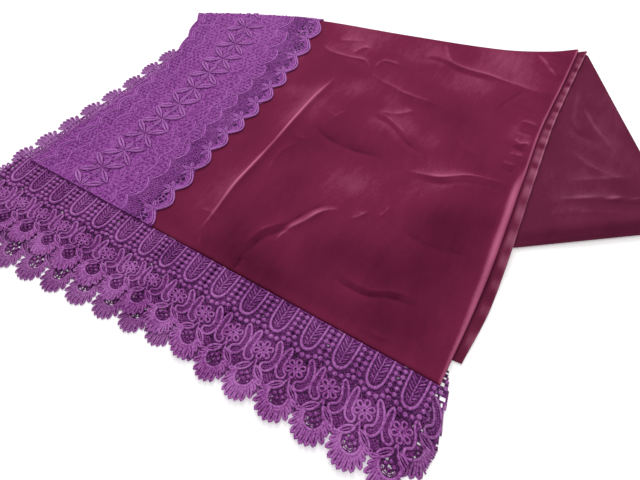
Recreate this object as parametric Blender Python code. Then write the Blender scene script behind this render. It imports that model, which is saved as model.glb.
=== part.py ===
"""Evening stole of double velvet with guipure lace, folded and lying flat.

The stole was folded once across its length, so that both trimmed hems lie together, and the doubled
strip was then folded under along a slanted line. Seen from above, X runs along the near hem, Y along
the strip and Z up from the surface it lies on. Sizes are in millimetres and become metres at the end.
"""
import math

import bpy
from mathutils import Vector, geometry
from mathutils.bvhtree import BVHTree

MM = 0.001

# Driving dimensions
LAYER = 2.6             # one layer of the stole: velvet on both sides, bagged out
EASE = 0.6              # air between two layers that lie on each other
SEAM = 0.3              # parting between two pieces that are sewn edge to edge
LACE = 1.5              # guipure ground
CORD = 0.7              # height of the guipure's raised motifs over its ground
REPEAT = 35.0           # one oval of the hem trim
REPEATS = 16
STARS = 12             # rows of the galloon, the first one cut by the hem
PICOT_FANS = 8
FOLD_TURN = math.radians(18.5)

HEM_Y = 15.0            # near hem of the top layer
LOWER_HEM_START = (-23.0, -5.0)
LOWER_HEM_TURN = math.radians(4.87)

PITCH = LAYER + EASE
UNDER_HEIGHT = 2 * LAYER + EASE
BRIDGE = 10.0           # how much wider the top layer spans the step down from the strip below
STACK_HEIGHT = UNDER_HEIGHT + 2 * PITCH
BEND_CENTRE = STACK_HEIGHT / 2

# Edges, each a row for a place along Y (or along X for the far fold) and where the edge lies there
TOP_RIGHT_EDGE = [(15, 543), (110, 542), (190, 537), (271, 530), (355, 523), (456, 522), (540, 520)]
LOWER_RIGHT_EDGE = [(44, 552), (107, 555), (179, 550), (280, 541), (384, 533), (540, 531)]
LEFT_EDGE = [(-10, 4), (57, 10), (125, 19), (210, 30), (268, 33), (318, 18), (370, 0)]
GALLOON_RIGHT = [(15, 200), (122, 201), (184, 206), (281, 205), (315, 201), (353, 197), (394, 189),
                 (430, 181)]
STAR_COLUMN = [(15, 86), (50, 89), (83, 94), (149, 98), (207, 102), (265, 101), (319, 95), (353, 85),
               (394, 70)]
PICOT_TIPS = [(10, -33), (57, -25), (125, -15), (178, -5), (243, 1), (280, 6)]
FAR_FOLD = [(-40, 322), (0, 344), (60, 374), (160, 413), (300, 444), (430, 476), (490, 503), (530, 532)]

# Galloon rows: where along Y each star's middle lies, and its number from the hem
STAR_ROWS = [(17, 0), (50, 1), (83, 2), (118, 3), (149, 4), (180, 5), (211, 6), (244, 7), (277, 8),
             (312, 9), (350, 10), (393, 11), (436, 12)]

# The doubled strip below: its corners, going round from the far left
UNDER_LEFT = (4, 338)
UNDER_NEAR = (310, 88)
UNDER_RIGHT = (695, 293)
UNDER_FAR = (534, 530)
MID_FOLD_ELBOW = (552, 187)

# Largest folds of the top layer: start, middle and end in X and Y, height, half width
FOLDS = [
    (249, 338, 254, 200, 243, 42, 3.6, 8),
    (203, 381, 262, 354, 318, 340, 2.8, 12),
    (312, 344, 352, 334, 408, 336, 2.2, 12),
    (334, 414, 395, 416, 462, 414, 2.6, 12),
    (462, 414, 492, 416, 522, 418, 2.4, 11),
    (460, 354, 474, 386, 488, 412, 2.2, 11),
    (478, 492, 500, 474, 520, 450, 2.6, 12),
    (404, 220, 452, 228, 524, 258, 2.4, 11),
    (330, 284, 380, 262, 430, 250, 2.0, 13),
    (328, 66, 346, 110, 372, 140, 2.6, 10),
    (303, 44, 314, 78, 336, 100, 2.2, 11),
    (496, 355, 510, 356, 523, 356, 1.8, 8),
    (496, 312, 510, 318, 525, 328, 1.8, 8),
    (498, 290, 512, 294, 528, 300, 1.6, 8),
]

VELVET = (0.145, 0.022, 0.062)
GUIPURE = (0.165, 0.036, 0.185)
GALLOON = (0.29, 0.076, 0.32)


def smooth(t):
    """Ease from 0 to 1 with level ends."""
    t = min(max(t, 0.0), 1.0)
    return t * t * (3 - 2 * t)


def along(rows, s):
    """Value at s of a smooth curve through rows of (place, value)."""
    last = len(rows) - 1
    k = 0
    while k < last - 1 and s > rows[k + 1][0]:
        k += 1
    (s0, a), (s1, b) = rows[k], rows[k + 1]
    t = (s - s0) / (s1 - s0)
    before = rows[max(k - 1, 0)]
    after = rows[min(k + 2, last)]
    slope_a = (b - before[1]) / (s1 - before[0])
    slope_b = (after[1] - a) / (after[0] - s0)
    if t <= 0:
        return a + slope_a * (s - s0)
    if t >= 1:
        return b + slope_b * (s - s1)
    h = s1 - s0
    return ((2 * t**3 - 3 * t**2 + 1) * a + (t**3 - 2 * t**2 + t) * h * slope_a
            + (3 * t**2 - 2 * t**3) * b + (t**3 - t**2) * h * slope_b)


def inside_of(a, b, x, y):
    """Distance of a point to the left of the line from a to b."""
    dx, dy = b[0] - a[0], b[1] - a[1]
    return (dx * (y - a[1]) - dy * (x - a[0])) / math.hypot(dx, dy)


def under_depth(x, y):
    """How far a place lies inside the doubled strip below, past its left edge and its mid fold."""
    left = inside_of(UNDER_LEFT, UNDER_NEAR, x, y)
    near = inside_of(UNDER_NEAR, MID_FOLD_ELBOW, x, y)
    corner = 22.0
    blend = max(corner - abs(left - near), 0) / corner
    return min(left, near) - blend * blend * corner / 4


def rest_height(x, y, bridge=0.0):
    """Height that the doubled strip below lifts a layer over a place. A layer further up bridges more."""
    slope = 54.0
    return (UNDER_HEIGHT + EASE) * smooth((under_depth(x, y) + slope + 8 + bridge) / slope)


def fold_lift(x, y):
    """Height of the largest folds over the top layer's plain surface."""
    lift = 0.0
    for x0, y0, x1, y1, x2, y2, height, half_width in FOLDS:
        start, end = (x0, y0), (x2, y2)
        reach = math.hypot(x2 - x0, y2 - y0)
        t = min(max(((x - x0) * (x2 - x0) + (y - y0) * (y2 - y0)) / reach**2, 0), 1)
        bow = inside_of(start, end, x1, y1)
        away = (inside_of(start, end, x, y) - 4 * t * (1 - t) * bow) / half_width
        lift += height * math.exp(-away * away) * smooth(4 * t) * smooth(4 * (1 - t))
    return lift * smooth((along(FAR_FOLD, x) - y) / 25)


def round_fold(x, y, radius, height):
    """Place of a point that lies at a height, or past the far fold turns round it at a radius."""
    past = y - along(FAR_FOLD, x)
    if past <= 0:
        return Vector((x, y, height))
    turn = min(past * math.cos(FOLD_TURN) / BEND_CENTRE, math.pi)
    out = radius * math.sin(turn)
    return Vector((
        x - out * math.sin(FOLD_TURN),
        y - past + out * math.cos(FOLD_TURN),
        BEND_CENTRE + radius * math.cos(turn)))


def top_underside(x, y):
    return rest_height(x, y, BRIDGE) + PITCH + fold_lift(x, y)


def new_material(name, colour, roughness):
    material = bpy.data.materials.new(name)
    material.use_nodes = True
    shader = material.node_tree.nodes["Principled BSDF"]
    shader.inputs["Base Color"].default_value = (*colour, 1)
    shader.inputs["Roughness"].default_value = roughness
    shader.inputs["Metallic"].default_value = 0
    return material


def new_object(name, points, faces, material):
    mesh = bpy.data.meshes.new(name)
    mesh.from_pydata([tuple(p) for p in points], [], faces)
    mesh.materials.append(material)
    mesh.shade_smooth()
    mesh.set_sharp_from_angle(angle=math.radians(50))
    made = bpy.data.objects.new(name, mesh)
    bpy.context.scene.collection.objects.link(made)
    return made


def grid_rim(rows, columns):
    """Indices of a grid's outer points, going round anticlockwise from the near left corner."""
    near = [(0, j) for j in range(columns)]
    right = [(i, columns - 1) for i in range(1, rows)]
    far = [(rows - 1, j) for j in range(columns - 2, -1, -1)]
    left = [(i, 0) for i in range(rows - 2, 0, -1)]
    return near + right + far + left


def slab(name, bottom, top, rings, material):
    """Closed solid between a bottom and a top grid, through rings of points round its rim."""
    rows, columns = len(top), len(top[0])
    points = [p for row in bottom for p in row] + [p for row in top for p in row]
    half = rows * columns
    faces = []
    for i in range(rows - 1):
        for j in range(columns - 1):
            a = i * columns + j
            b = a + columns
            faces += [(a, b, b + 1), (a, b + 1, a + 1)]
            faces += [(half + a, half + a + 1, half + b + 1), (half + a, half + b + 1, half + b)]
    rim = grid_rim(rows, columns)
    loops = [[i * columns + j for i, j in rim]]
    for ring in rings:
        first = len(points)
        points.extend(ring)
        loops.append(list(range(first, first + len(ring))))
    loops.append([half + i * columns + j for i, j in rim])
    count = len(rim)
    for low, high in zip(loops, loops[1:]):
        for k in range(count):
            n = (k + 1) % count
            faces.append((low[k], low[n], high[n], high[k]))
    return new_object(name, points, faces, material)


def panel_points(columns, rows):
    """Plan of one layer: rows of (x, y) from its hem to the far fold, then unrolled round it.

    columns gives the place across at a share and a Y, and rows the hem's Y at an X.
    """
    bend_steps = 6
    step = math.pi / bend_steps * BEND_CENTRE / math.cos(FOLD_TURN)
    plan = []
    for r in range(rows["count"] + bend_steps + 1):
        row = []
        for k in range(columns["count"] + 1):
            across = k / columns["count"]
            share = min(r / rows["count"], 1)
            x = columns["place"](across, HEM_Y)
            for _ in range(3):
                start = rows["hem"](x)
                y = start + (along(FAR_FOLD, x) - start) * share
                x = columns["place"](across, y)
            row.append((x, y + max(r - rows["count"], 0) * step))
        plan.append(row)
    return plan


def velvet_wall(name, plan, lower_height, bend_radii, material):
    """One layer of the stole on its plan, with its underside's height and its radii round the fold."""
    inner, outer = bend_radii
    bottom = [[round_fold(x, y, inner, lower_height(x, y)) for x, y in row] for row in plan]
    top = [[round_fold(x, y, outer, lower_height(x, y) + LAYER) for x, y in row] for row in plan]
    return slab(name, bottom, top, [], material)


def top_plan():
    """Plan of the panel that shows. Its columns crowd where the long fold by the galloon stands."""
    marks = [(0.0, 0.0), (0.30, 0.36), (0.42, 0.45), (0.54, 0.495), (1.0, 1.0)]

    def place(s, y):
        left = along(LEFT_EDGE, y)
        share = s
        for (s0, a), (s1, b) in zip(marks, marks[1:]):
            if s0 <= s <= s1:
                share = a + (b - a) * (s - s0) / (s1 - s0)
        return left + (along(TOP_RIGHT_EDGE, y) - left) * share

    return panel_points({"count": 25, "place": place}, {"count": 22, "hem": lambda x: HEM_Y})


def make_top_layer(material):
    return velvet_wall(
        "top_layer", top_plan(), top_underside, (BEND_CENTRE - LAYER, BEND_CENTRE), material)


def lower_hem(x):
    return LOWER_HEM_START[1] + (x - LOWER_HEM_START[0]) * math.tan(LOWER_HEM_TURN)


def make_second_layer(material):
    """The panel below, which shows along the right edge, where it ripples."""
    inset = 5.0
    ripple_length = 31.0
    squeeze = 0.5

    def place(s, y):
        left = along(LEFT_EDGE, y) - inset
        top_edge = along(TOP_RIGHT_EDGE, y) - 1
        inner = 0.9
        if s <= inner:
            return left + (top_edge - left) * s / inner
        return top_edge + (along(LOWER_RIGHT_EDGE, y) - top_edge) * (s - inner) / (1 - inner)

    def height(x, y):
        shown = smooth((x - along(TOP_RIGHT_EDGE, y)) / 8)
        ripple = 0.9 * shown * (1 - math.cos(2 * math.pi * y / ripple_length)) / 2
        return rest_height(x, y) + ripple * smooth((along(FAR_FOLD, x) - y) / 40)

    plan = panel_points({"count": 16, "place": place}, {"count": 24, "hem": lower_hem})
    radii = (BEND_CENTRE - PITCH - LAYER, BEND_CENTRE - PITCH - squeeze)
    return velvet_wall("second_layer", plan, height, radii, material)


def triangle_puff(x, y):
    """Rise of the doubled strip's soft mid fold, and of its faint creases, where they show."""
    shown = smooth((x - 560) / 50)
    from_fold = inside_of(MID_FOLD_ELBOW, UNDER_RIGHT, x, y)
    roll = 4.2 * math.exp(-((from_fold - 11) / 13)**2)
    valley = -1.0 * math.exp(-((from_fold - 34) / 9)**2)
    from_edge = -inside_of(UNDER_FAR, UNDER_RIGHT, x, y)
    crease = 1.0 * math.exp(-((from_edge - 20) / 8)**2) * smooth((from_fold - 30) / 60)
    return shown * (roll + valley + crease)


def make_under_fold(material):
    """Both hidden layers of the doubled strip as one solid, flat below and layered at its cut edge."""
    rows, columns = 15, 15
    layers = 6
    cut_inset = [1.3, 0.0, 0.9, 2.6, 0.9, 0.0, 1.3]
    roll = 3.6
    far_gap = 2.0

    def mid_fold(s):
        split = 0.62
        if s < split:
            t = s / split
            return Vector(UNDER_NEAR).lerp(Vector(MID_FOLD_ELBOW), t)
        return Vector(MID_FOLD_ELBOW).lerp(Vector(UNDER_RIGHT), (s - split) / (1 - split))

    def far_side(s):
        x = UNDER_LEFT[0] + (UNDER_FAR[0] - UNDER_LEFT[0]) * s
        return Vector((x, along(FAR_FOLD, x) - far_gap))

    shares = [j / (columns - 1) for j in range(columns)]
    plan = []
    for i in range(rows):
        t = i / (rows - 1)
        plan.append([mid_fold(s).lerp(far_side(s), t) for s in shares])
    rim = grid_rim(rows, columns)
    loop = [plan[i][j] for i, j in rim]
    count = len(rim)
    rings = []
    for k in range(layers + 1):
        ring = []
        turn = math.sin(math.pi * k / layers)
        for n, (i, j) in enumerate(rim):
            ahead = loop[(n + 1) % count] - loop[n - 1]
            inward = Vector((-ahead.y, ahead.x)).normalized()
            if j == columns - 1:
                inset = cut_inset[k]
            elif i == 0 or j == 0:
                inset = roll * (1 - turn)
            else:
                inset = 0.0
            x, y = loop[n] + inward * inset
            ring.append(Vector((x, y, (UNDER_HEIGHT + triangle_puff(x, y)) * k / layers)))
        rings.append(ring)
    bottom = [[Vector((p.x, p.y, 0)) for p in row] for row in plan]
    top = [[Vector((p.x, p.y, UNDER_HEIGHT + triangle_puff(p.x, p.y))) for p in row] for row in plan]
    for n, (i, j) in enumerate(rim):
        bottom[i][j] = rings[0][n]
        top[i][j] = rings[layers][n]
    return slab("under_fold", bottom, top, rings[1:layers], material)


def in_loop(loop, x, y):
    """True where a point lies inside a closed outline."""
    within = False
    for k, (x1, y1) in enumerate(loop):
        x0, y0 = loop[k - 1]
        if (y0 > y) != (y1 > y) and x < x0 + (y - y0) / (y1 - y0) * (x1 - x0):
            within = not within
    return within


def triangles(loops, lines):
    """Triangles of an outline with holes, with lines of (x, y, rise) drawn on it.

    Gives the points with their rise, and the triangles, anticlockwise.
    """
    points, rises, edges = [], [], []
    for loop in loops:
        first = len(points)
        points.extend(Vector(p) for p in loop)
        rises.extend(0.0 for _ in loop)
        edges.extend((first + k, first + (k + 1) % len(loop)) for k in range(len(loop)))
    for line in lines:
        first = len(points)
        points.extend(Vector(p[:2]) for p in line)
        rises.extend(p[2] for p in line)
        edges.extend((first + k, first + k + 1) for k in range(len(line) - 1))
    found, _, faces, sources, _, _ = geometry.delaunay_2d_cdt(points, edges, [], 0, 1e-4)
    rise = [max((rises[s] for s in source), default=0.0) for source in sources]
    kept = []
    for face in faces:
        x = sum(found[v].x for v in face) / 3
        y = sum(found[v].y for v in face) / 3
        if in_loop(loops[0], x, y) and not any(in_loop(hole, x, y) for hole in loops[1:]):
            kept.append(tuple(face))
    return [(p.x, p.y, r) for p, r in zip(found, rise)], kept


def lace_sheet(name, loops, lines, levels, place, material):
    """Lace wall with its outline and holes cut through and its lines raised on the outer side."""
    plain = [[(x, y, 0.0) for x, y, _ in line] for line in levels]
    top_points, top_faces = triangles(loops, lines + plain)
    low_points, low_faces = triangles(loops, plain)
    points = [place(x, y, LACE + rise) for x, y, rise in top_points]
    first = len(points)
    points += [place(x, y, 0.0) for x, y, _ in low_points]
    faces = list(top_faces)
    faces += [tuple(first + v for v in reversed(face)) for face in low_faces]
    below = {(round(x, 3), round(y, 3)): first + k for k, (x, y, _) in enumerate(low_points)}
    borders = set()
    for face in top_faces:
        for k in range(3):
            borders.add((face[k], face[(k + 1) % 3]))
    for a, b in sorted(borders):
        if (b, a) in borders:
            continue
        low_a = below[round(top_points[a][0], 3), round(top_points[a][1], 3)]
        low_b = below[round(top_points[b][0], 3), round(top_points[b][1], 3)]
        faces.append((b, a, low_a, low_b))
    used = sorted({v for face in faces for v in face})
    renumber = {v: k for k, v in enumerate(used)}
    faces = [tuple(renumber[v] for v in face) for face in faces]
    return new_object(name, [points[v] for v in used], faces, material)


def arc(x, y, radius_x, radius_y, start, end, steps):
    """Points on an arc, its angles in degrees."""
    made = []
    for k in range(steps + 1):
        a = math.radians(start + (end - start) * k / steps)
        made.append((x + radius_x * math.cos(a), y + radius_y * math.sin(a)))
    return made


def raised(points, rise=CORD):
    return [(x, y, rise) for x, y in points]


# One repeat of the hem trim. P runs along the hem from an oval's middle, Q from the hem to the tips.
OVAL_HALF_WIDTH = 9.4
OVAL_END = 32.0
BEAD_COLUMN = 13.7
BEAD_ROWS = 4
BEAD_PITCH = 7.0
FLOWER_Q = 51.5
FLOWER_RADIUS = 9.5
HEAD_Q = 0.5
FAN_P = 2.0
FAN_Q = 80.0
FAN_RING = 9.5
FAN_RADIUS = 21.0


def trim_scallop(first, last):
    """Lower edge of one repeat: the notch before its fan, then the fan's petal ends."""
    notch = REPEAT / 2
    petals = 7
    first_angle, petal_turn = 158, 22.7
    narrow, side_petal = 0.78, 0.83
    if first:
        cut = FAN_P - notch - 8
        edge = [(cut, HEAD_Q), (cut + 1.5, 24), (cut - 1, 50), (cut + 1, FAN_Q - 2),
                (cut + 8, FAN_Q + 5)]
    else:
        edge = [(FAN_P - notch, FAN_Q + 6.5)]
    for k in range(petals):
        a = math.radians(first_angle - petal_turn * k)
        reach = FAN_RADIUS if 0 < k < petals - 1 else FAN_RADIUS * side_petal
        edge.append((FAN_P + narrow * reach * math.cos(a), FAN_Q + reach * math.sin(a)))
    if last:
        cut = FAN_P + notch
        edge += [(cut, FAN_Q + 2), (cut - 1, 40), (cut, HEAD_Q)]
    return edge


def trim_holes():
    """Gaps of one repeat that are over 4 mm: between two fans, in the fan's ring and in the net."""
    half = REPEAT / 2

    def diamond(p, q, half_width, above, below):
        return [(p - half_width, q), (p, q - above), (p + half_width, q), (p, q + below)]

    return [
        diamond(half + FAN_P, FAN_Q + 0.5, 2.4, 3.9, 3.3),
        diamond(FAN_P, FAN_Q + 1.0, 3.2, 4.6, 3.6),
        [(half - 2.6, 37.0), (half + 2.6, 37.0), (half + 2.2, 43.5), (half - 2.2, 43.5)],
        [(half - 2.8, 63.0), (half + 2.8, 63.0), (half, 68.5)],
    ]


def trim_motifs(with_ground):
    """Raised lines of one repeat."""
    lines = []
    for side in (-1, 1):
        petal = arc(FAN_P, FAN_Q, 15.6 * side, FAN_RADIUS - 3.5, 72, 20, 2)
        lines += [raised([p]) for p in petal]
    lines.append(raised(arc(FAN_P, FAN_Q, FAN_RING, FAN_RING, 160, 20, 4)))
    if not with_ground:
        return lines
    straight = 22
    outer = arc(0, straight, OVAL_HALF_WIDTH, OVAL_END - straight, 180, 0, 4)
    outer = [(-OVAL_HALF_WIDTH, 2.5)] + outer + [(OVAL_HALF_WIDTH, 2.5)]
    lines.append(raised(outer))
    lines.append([(0, 4, 0.2), (0, 14, 0.5), (0, 26, 0.2)])
    for column in (-BEAD_COLUMN, BEAD_COLUMN):
        beads = []
        for k in range(BEAD_ROWS):
            beads.append((column, 4.5 + k * BEAD_PITCH, CORD))
            beads.append((column, 4.5 + (k + 0.5) * BEAD_PITCH, 0.0))
        lines.append(beads)
    lines.append([(FAN_P, FLOWER_Q, CORD)])
    petals_at = 0.72 * FLOWER_RADIUS
    for p, q in arc(FAN_P, FLOWER_Q, petals_at, petals_at, 30, 330, 5):
        lines.append([(p, q, CORD)])
    for side in (-1, 1):
        scroll = [(11.5, 38.0), (13.6, 52.0), (8.5, 63.5)]
        leaf = [(2.5, 68.0), (9.5, 73.5), (14.5, 78.0)]
        for line in (scroll, leaf):
            lines.append(raised([(FAN_P + side * p, q) for p, q in line]))
    return lines


def trim_parts(with_ground):
    """Outline, holes and raised lines of a whole hem trim, in P and Q."""
    outline, holes, lines = [], [], []
    for n in range(REPEATS):
        shift = n * REPEAT
        first, last = n == 0, n == REPEATS - 1
        outline += [(p + shift, q) for p, q in trim_scallop(first, last)]
        if not last:
            holes += [[(p + shift, q) for p, q in hole] for hole in trim_holes()]
        lines += [[(p + shift, q, rise) for p, q, rise in line] for line in trim_motifs(with_ground)]
    for n in range(REPEATS - 2, 0, -1):
        outline.append((n * REPEAT, HEAD_Q))
    return [outline] + holes, lines


def make_hem_trim(name, with_ground, start, turn, base, material):
    """Hem trim from its start along its hem. base gives its underside at a Q."""
    loops, lines = trim_parts(with_ground)
    loops = [list(reversed(loop)) for loop in loops]

    def place(p, q, height):
        x = start[0] + p * math.cos(turn) + q * math.sin(turn)
        y = start[1] + p * math.sin(turn) - q * math.cos(turn)
        return Vector((x, y, rest_height(x, y) + base(q) + height))

    made = lace_sheet(name, loops, lines, [], place, material)
    made.data.flip_normals()
    return made


def galloon_edge(y, side):
    """Scalloped edge of the galloon on one side (1 right, -1 left)."""
    bow = abs(math.cos(math.pi * along(STAR_ROWS, y)))
    if side > 0:
        return along(GALLOON_RIGHT, y) - 11.0 * (1 - bow)
    return along(LEFT_EDGE, y) - 3.0 - 4.5 * bow


def split_at(loop, level):
    """Outline with a point added wherever level, a function of x and y, changes its sign."""
    made = []
    for k, (x0, y0) in enumerate(loop):
        x1, y1 = loop[(k + 1) % len(loop)]
        a, b = level(x0, y0), level(x1, y1)
        made.append((x0, y0))
        if a * b < 0:
            t = a / (a - b)
            made.append((x0 + (x1 - x0) * t, y0 + (y1 - y0) * t))
    return made


def galloon_supports():
    """Points of the top layer that lie under the galloon, so that it follows the panel's facets."""
    margin = 3.0
    points = []
    for row in top_plan():
        for x, y in row:
            across = galloon_edge(y, -1) + margin < x < galloon_edge(y, 1) - margin
            if across and HEM_Y + margin < y < along(FAR_FOLD, x) - margin:
                points.append([(x, y, 0.0)])
    return points


def make_star_galloon(panel, material):
    """Galloon on the top layer, drooping past its left edge and turning round the far fold."""
    tree = BVHTree.FromPolygons(
        [v.co.copy() for v in panel.data.vertices], [tuple(p.vertices) for p in panel.data.polygons])
    per_star = 6
    over_fold = 9.6
    air = 1.1
    start = HEM_Y + 0.8
    ends = 14
    near_left, near_right = galloon_edge(start, -1), galloon_edge(start, 1)
    outline = [(near_left + (near_right - near_left) * k / ends, start) for k in range(1, ends)]
    row_of = [(k, y) for y, k in STAR_ROWS]
    edge_y = [along(row_of, k / per_star) for k in range(1, STARS * per_star)]
    outline.append((near_right, start))
    for y in edge_y:
        x = galloon_edge(y, 1)
        if y < along(FAR_FOLD, x) + over_fold - 2:
            outline.append((x, y))
    for k in range(ends + 1):
        x = galloon_edge(430, 1) + (galloon_edge(350, -1) - galloon_edge(430, 1)) * k / ends
        outline.append((x, along(FAR_FOLD, x) + over_fold))
    left = [(near_left, start)]
    for y in edge_y:
        x = galloon_edge(y, -1)
        if y < along(FAR_FOLD, x) + over_fold - 2:
            left.append((x, y))
    outline += list(reversed(left))

    turns = [k * math.radians(30) * BEND_CENTRE / math.cos(FOLD_TURN) for k in range(3)]
    levels = []
    for turn in turns:
        def level(x, y, turn=turn):
            return y - along(FAR_FOLD, x) - turn
        outline = split_at(outline, level)
    for turn in turns:
        on_line = sorted(p for p in outline if abs(p[1] - along(FAR_FOLD, p[0]) - turn) < 0.2)
        steps = 12
        x0, x1 = on_line[0][0], on_line[-1][0]
        inner = [x0 + (x1 - x0) * k / steps for k in range(1, steps)]
        inner = [(x, along(FAR_FOLD, x) + turn) for x in inner]
        levels.append([(x, y, 0.0) for x, y in [on_line[0], *inner, on_line[-1]]])
    levels += galloon_supports()

    lines = []
    for n in range(STARS):
        y = along(row_of, n)
        x = along(STAR_COLUMN, y)
        if y > along(FAR_FOLD, x) - 14:
            continue
        for angle, reach in ((30, 22), (150, 22), (210, 22), (330, 22), (90, 14)):
            c, s = math.cos(math.radians(angle)), math.sin(math.radians(angle))
            if n == 0 and s < 0:
                continue
            ridge = [(x + c * 5, y + s * 5 + 0.5, CORD), (x + c * reach, y + s * reach + 0.5, CORD)]
            lines.append(ridge)
        for side, distance in ((1, 51), (1, 72), (-1, 47)):
            bow = []
            for k in range(-2, 3):
                rise = CORD if abs(k) < 2 else 0.1
                bow.append((x + side * (distance - 1.9 * k * k), y + 0.5 + k * 7.6, rise))
            if n > 0:
                lines.append(bow)

    def place(x, y, height):
        edge = along(LEFT_EDGE, min(y, along(FAR_FOLD, x) - 1))
        inner_x = max(x, edge + 3)
        inner_y = min(y, along(FAR_FOLD, inner_x) - 1)
        above = Vector((inner_x, inner_y, 2 * STACK_HEIGHT))
        panel_height = tree.ray_cast(above, Vector((0, 0, -1)))[0].z
        droop = 2.4 * smooth((edge - x) / 12) * smooth((along(FAR_FOLD, x) - y - 4) / 30)
        base = panel_height + air - droop
        return round_fold(x, y, BEND_CENTRE + air + height, base + height)

    return lace_sheet("star_galloon", [outline], lines, levels, place, material)


def make_left_edging(material):
    """Narrow edging along the second layer's left edge, ending in fans of round picots."""
    picots = 6
    start, end = 2.0, 274.0
    pitch = (end - start) / PICOT_FANS
    outline = []
    for n in range(PICOT_FANS):
        for k in range(picots):
            middle = start + (n + (k + 0.5) / picots) * pitch
            bow = 1 - ((k - (picots - 1) / 2) / 3.4)**2
            tip = along(PICOT_TIPS, middle) + 4.0 * (1 - bow)
            root = tip + 8.5
            half = pitch / picots * 0.32
            outline += [(root, middle - half * 1.2), (tip + 1.2, middle - half), (tip, middle)]
            outline += [(tip + 1.2, middle + half), (root, middle + half * 1.2)]
    base = []
    steps = 22
    for k in range(steps + 1):
        y = start + (end - start) * k / steps
        base.append((along(LEFT_EDGE, y) - 5.0 - SEAM * 1.4, y))
    outline = outline + list(reversed(base))

    def place(x, y, height):
        return Vector((x, y, rest_height(x, y) + height))

    rings = []
    for n in range(PICOT_FANS):
        for k in (0.25, 0.75):
            y = start + (n + k) * pitch
            rings.append([(along(PICOT_TIPS, y) + 15.0, y, 0.5)])
    return lace_sheet("left_edging", [list(reversed(outline))], rings, [], place, material)


def to_metres(objects):
    """Put the origin under the middle of the whole, on the surface it lies on, in metres."""
    points = [v.co for made in objects for v in made.data.vertices]
    middle_x = (min(p.x for p in points) + max(p.x for p in points)) / 2
    middle_y = (min(p.y for p in points) + max(p.y for p in points)) / 2
    for made in objects:
        for v in made.data.vertices:
            v.co = ((v.co.x - middle_x) * MM, (v.co.y - middle_y) * MM, v.co.z * MM)
        made.data.update()


def main():
    for old in list(bpy.data.objects):
        bpy.data.objects.remove(old, do_unlink=True)
    velvet_top = new_material("velvet_pile_top", VELVET, 0.75)
    velvet_second = new_material("velvet_pile_second", VELVET, 0.75)
    velvet_under = new_material("velvet_pile_under", VELVET, 0.75)
    guipure_upper = new_material("rayon_guipure_upper", GUIPURE, 0.6)
    guipure_lower = new_material("rayon_guipure_lower", GUIPURE, 0.6)
    galloon = new_material("rayon_galloon", GALLOON, 0.6)
    edging = new_material("rayon_edging", GUIPURE, 0.6)

    def upper_base(q):
        return PITCH - 0.7 * smooth((q - 22) / 22)

    def lower_base(q):
        return 0.0

    first_oval = REPEAT / 2 - FAN_P
    lower_start = (
        LOWER_HEM_START[0] + first_oval * math.cos(LOWER_HEM_TURN),
        LOWER_HEM_START[1] + first_oval * math.sin(LOWER_HEM_TURN))
    panel = make_top_layer(velvet_top)
    objects = [
        panel,
        make_second_layer(velvet_second),
        make_under_fold(velvet_under),
        make_star_galloon(panel, galloon),
        make_hem_trim("guipure_trim_upper", True, (0.0, HEM_Y), 0.0, upper_base, guipure_upper),
        make_hem_trim("guipure_trim_lower", False, lower_start, LOWER_HEM_TURN, lower_base,
                      guipure_lower),
        make_left_edging(edging),
    ]
    to_metres(objects)


main()
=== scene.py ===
import math

import bpy
import numpy as np
from mathutils import Matrix, Vector


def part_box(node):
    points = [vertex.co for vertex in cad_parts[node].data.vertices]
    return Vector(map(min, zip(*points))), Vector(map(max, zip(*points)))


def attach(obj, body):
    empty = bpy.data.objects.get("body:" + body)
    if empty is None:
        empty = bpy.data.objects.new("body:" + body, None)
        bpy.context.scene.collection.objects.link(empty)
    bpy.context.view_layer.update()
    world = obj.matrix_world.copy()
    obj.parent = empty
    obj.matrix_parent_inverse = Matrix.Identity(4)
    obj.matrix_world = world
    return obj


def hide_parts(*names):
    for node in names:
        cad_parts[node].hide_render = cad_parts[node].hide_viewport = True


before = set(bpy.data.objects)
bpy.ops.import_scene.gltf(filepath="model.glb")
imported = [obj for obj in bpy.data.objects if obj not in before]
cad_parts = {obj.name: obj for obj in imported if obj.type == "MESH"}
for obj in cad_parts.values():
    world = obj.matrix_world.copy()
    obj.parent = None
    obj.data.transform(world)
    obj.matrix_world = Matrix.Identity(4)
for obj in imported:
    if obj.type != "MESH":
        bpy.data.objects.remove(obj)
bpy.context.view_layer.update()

# An evening stole of double silk velvet, folded and lying flat. Sizes are in millimetres on the
# stole's own plan: X along the near hem, Y along the strip, Z up from the surface it lies on.
MM = 0.001
LAYER = 2.6                 # velvet bagged out double
EASE = 0.6                  # air between layers
REPEAT = 35.0               # one repeat of the hem trim
REPEATS = 16
PICOT_FANS = 8              # combs of picots along the left edge
FOLD_TURN = math.radians(18.5)
HEM_Y = 15.0
LOWER_HEM_START = (-23.0, -5.0)
LOWER_HEM_TURN = math.radians(4.87)
PITCH = LAYER + EASE
UNDER_HEIGHT = 2 * LAYER + EASE
BRIDGE = 10.0               # how far the top layer bridges the step to the strip below it
BEND_CENTRE = (UNDER_HEIGHT + 2 * PITCH) / 2
TRIM_CUT_X = 544.5
TO_WINDOW = (-0.55, 0.83)   # direction of the light on the plan

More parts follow.
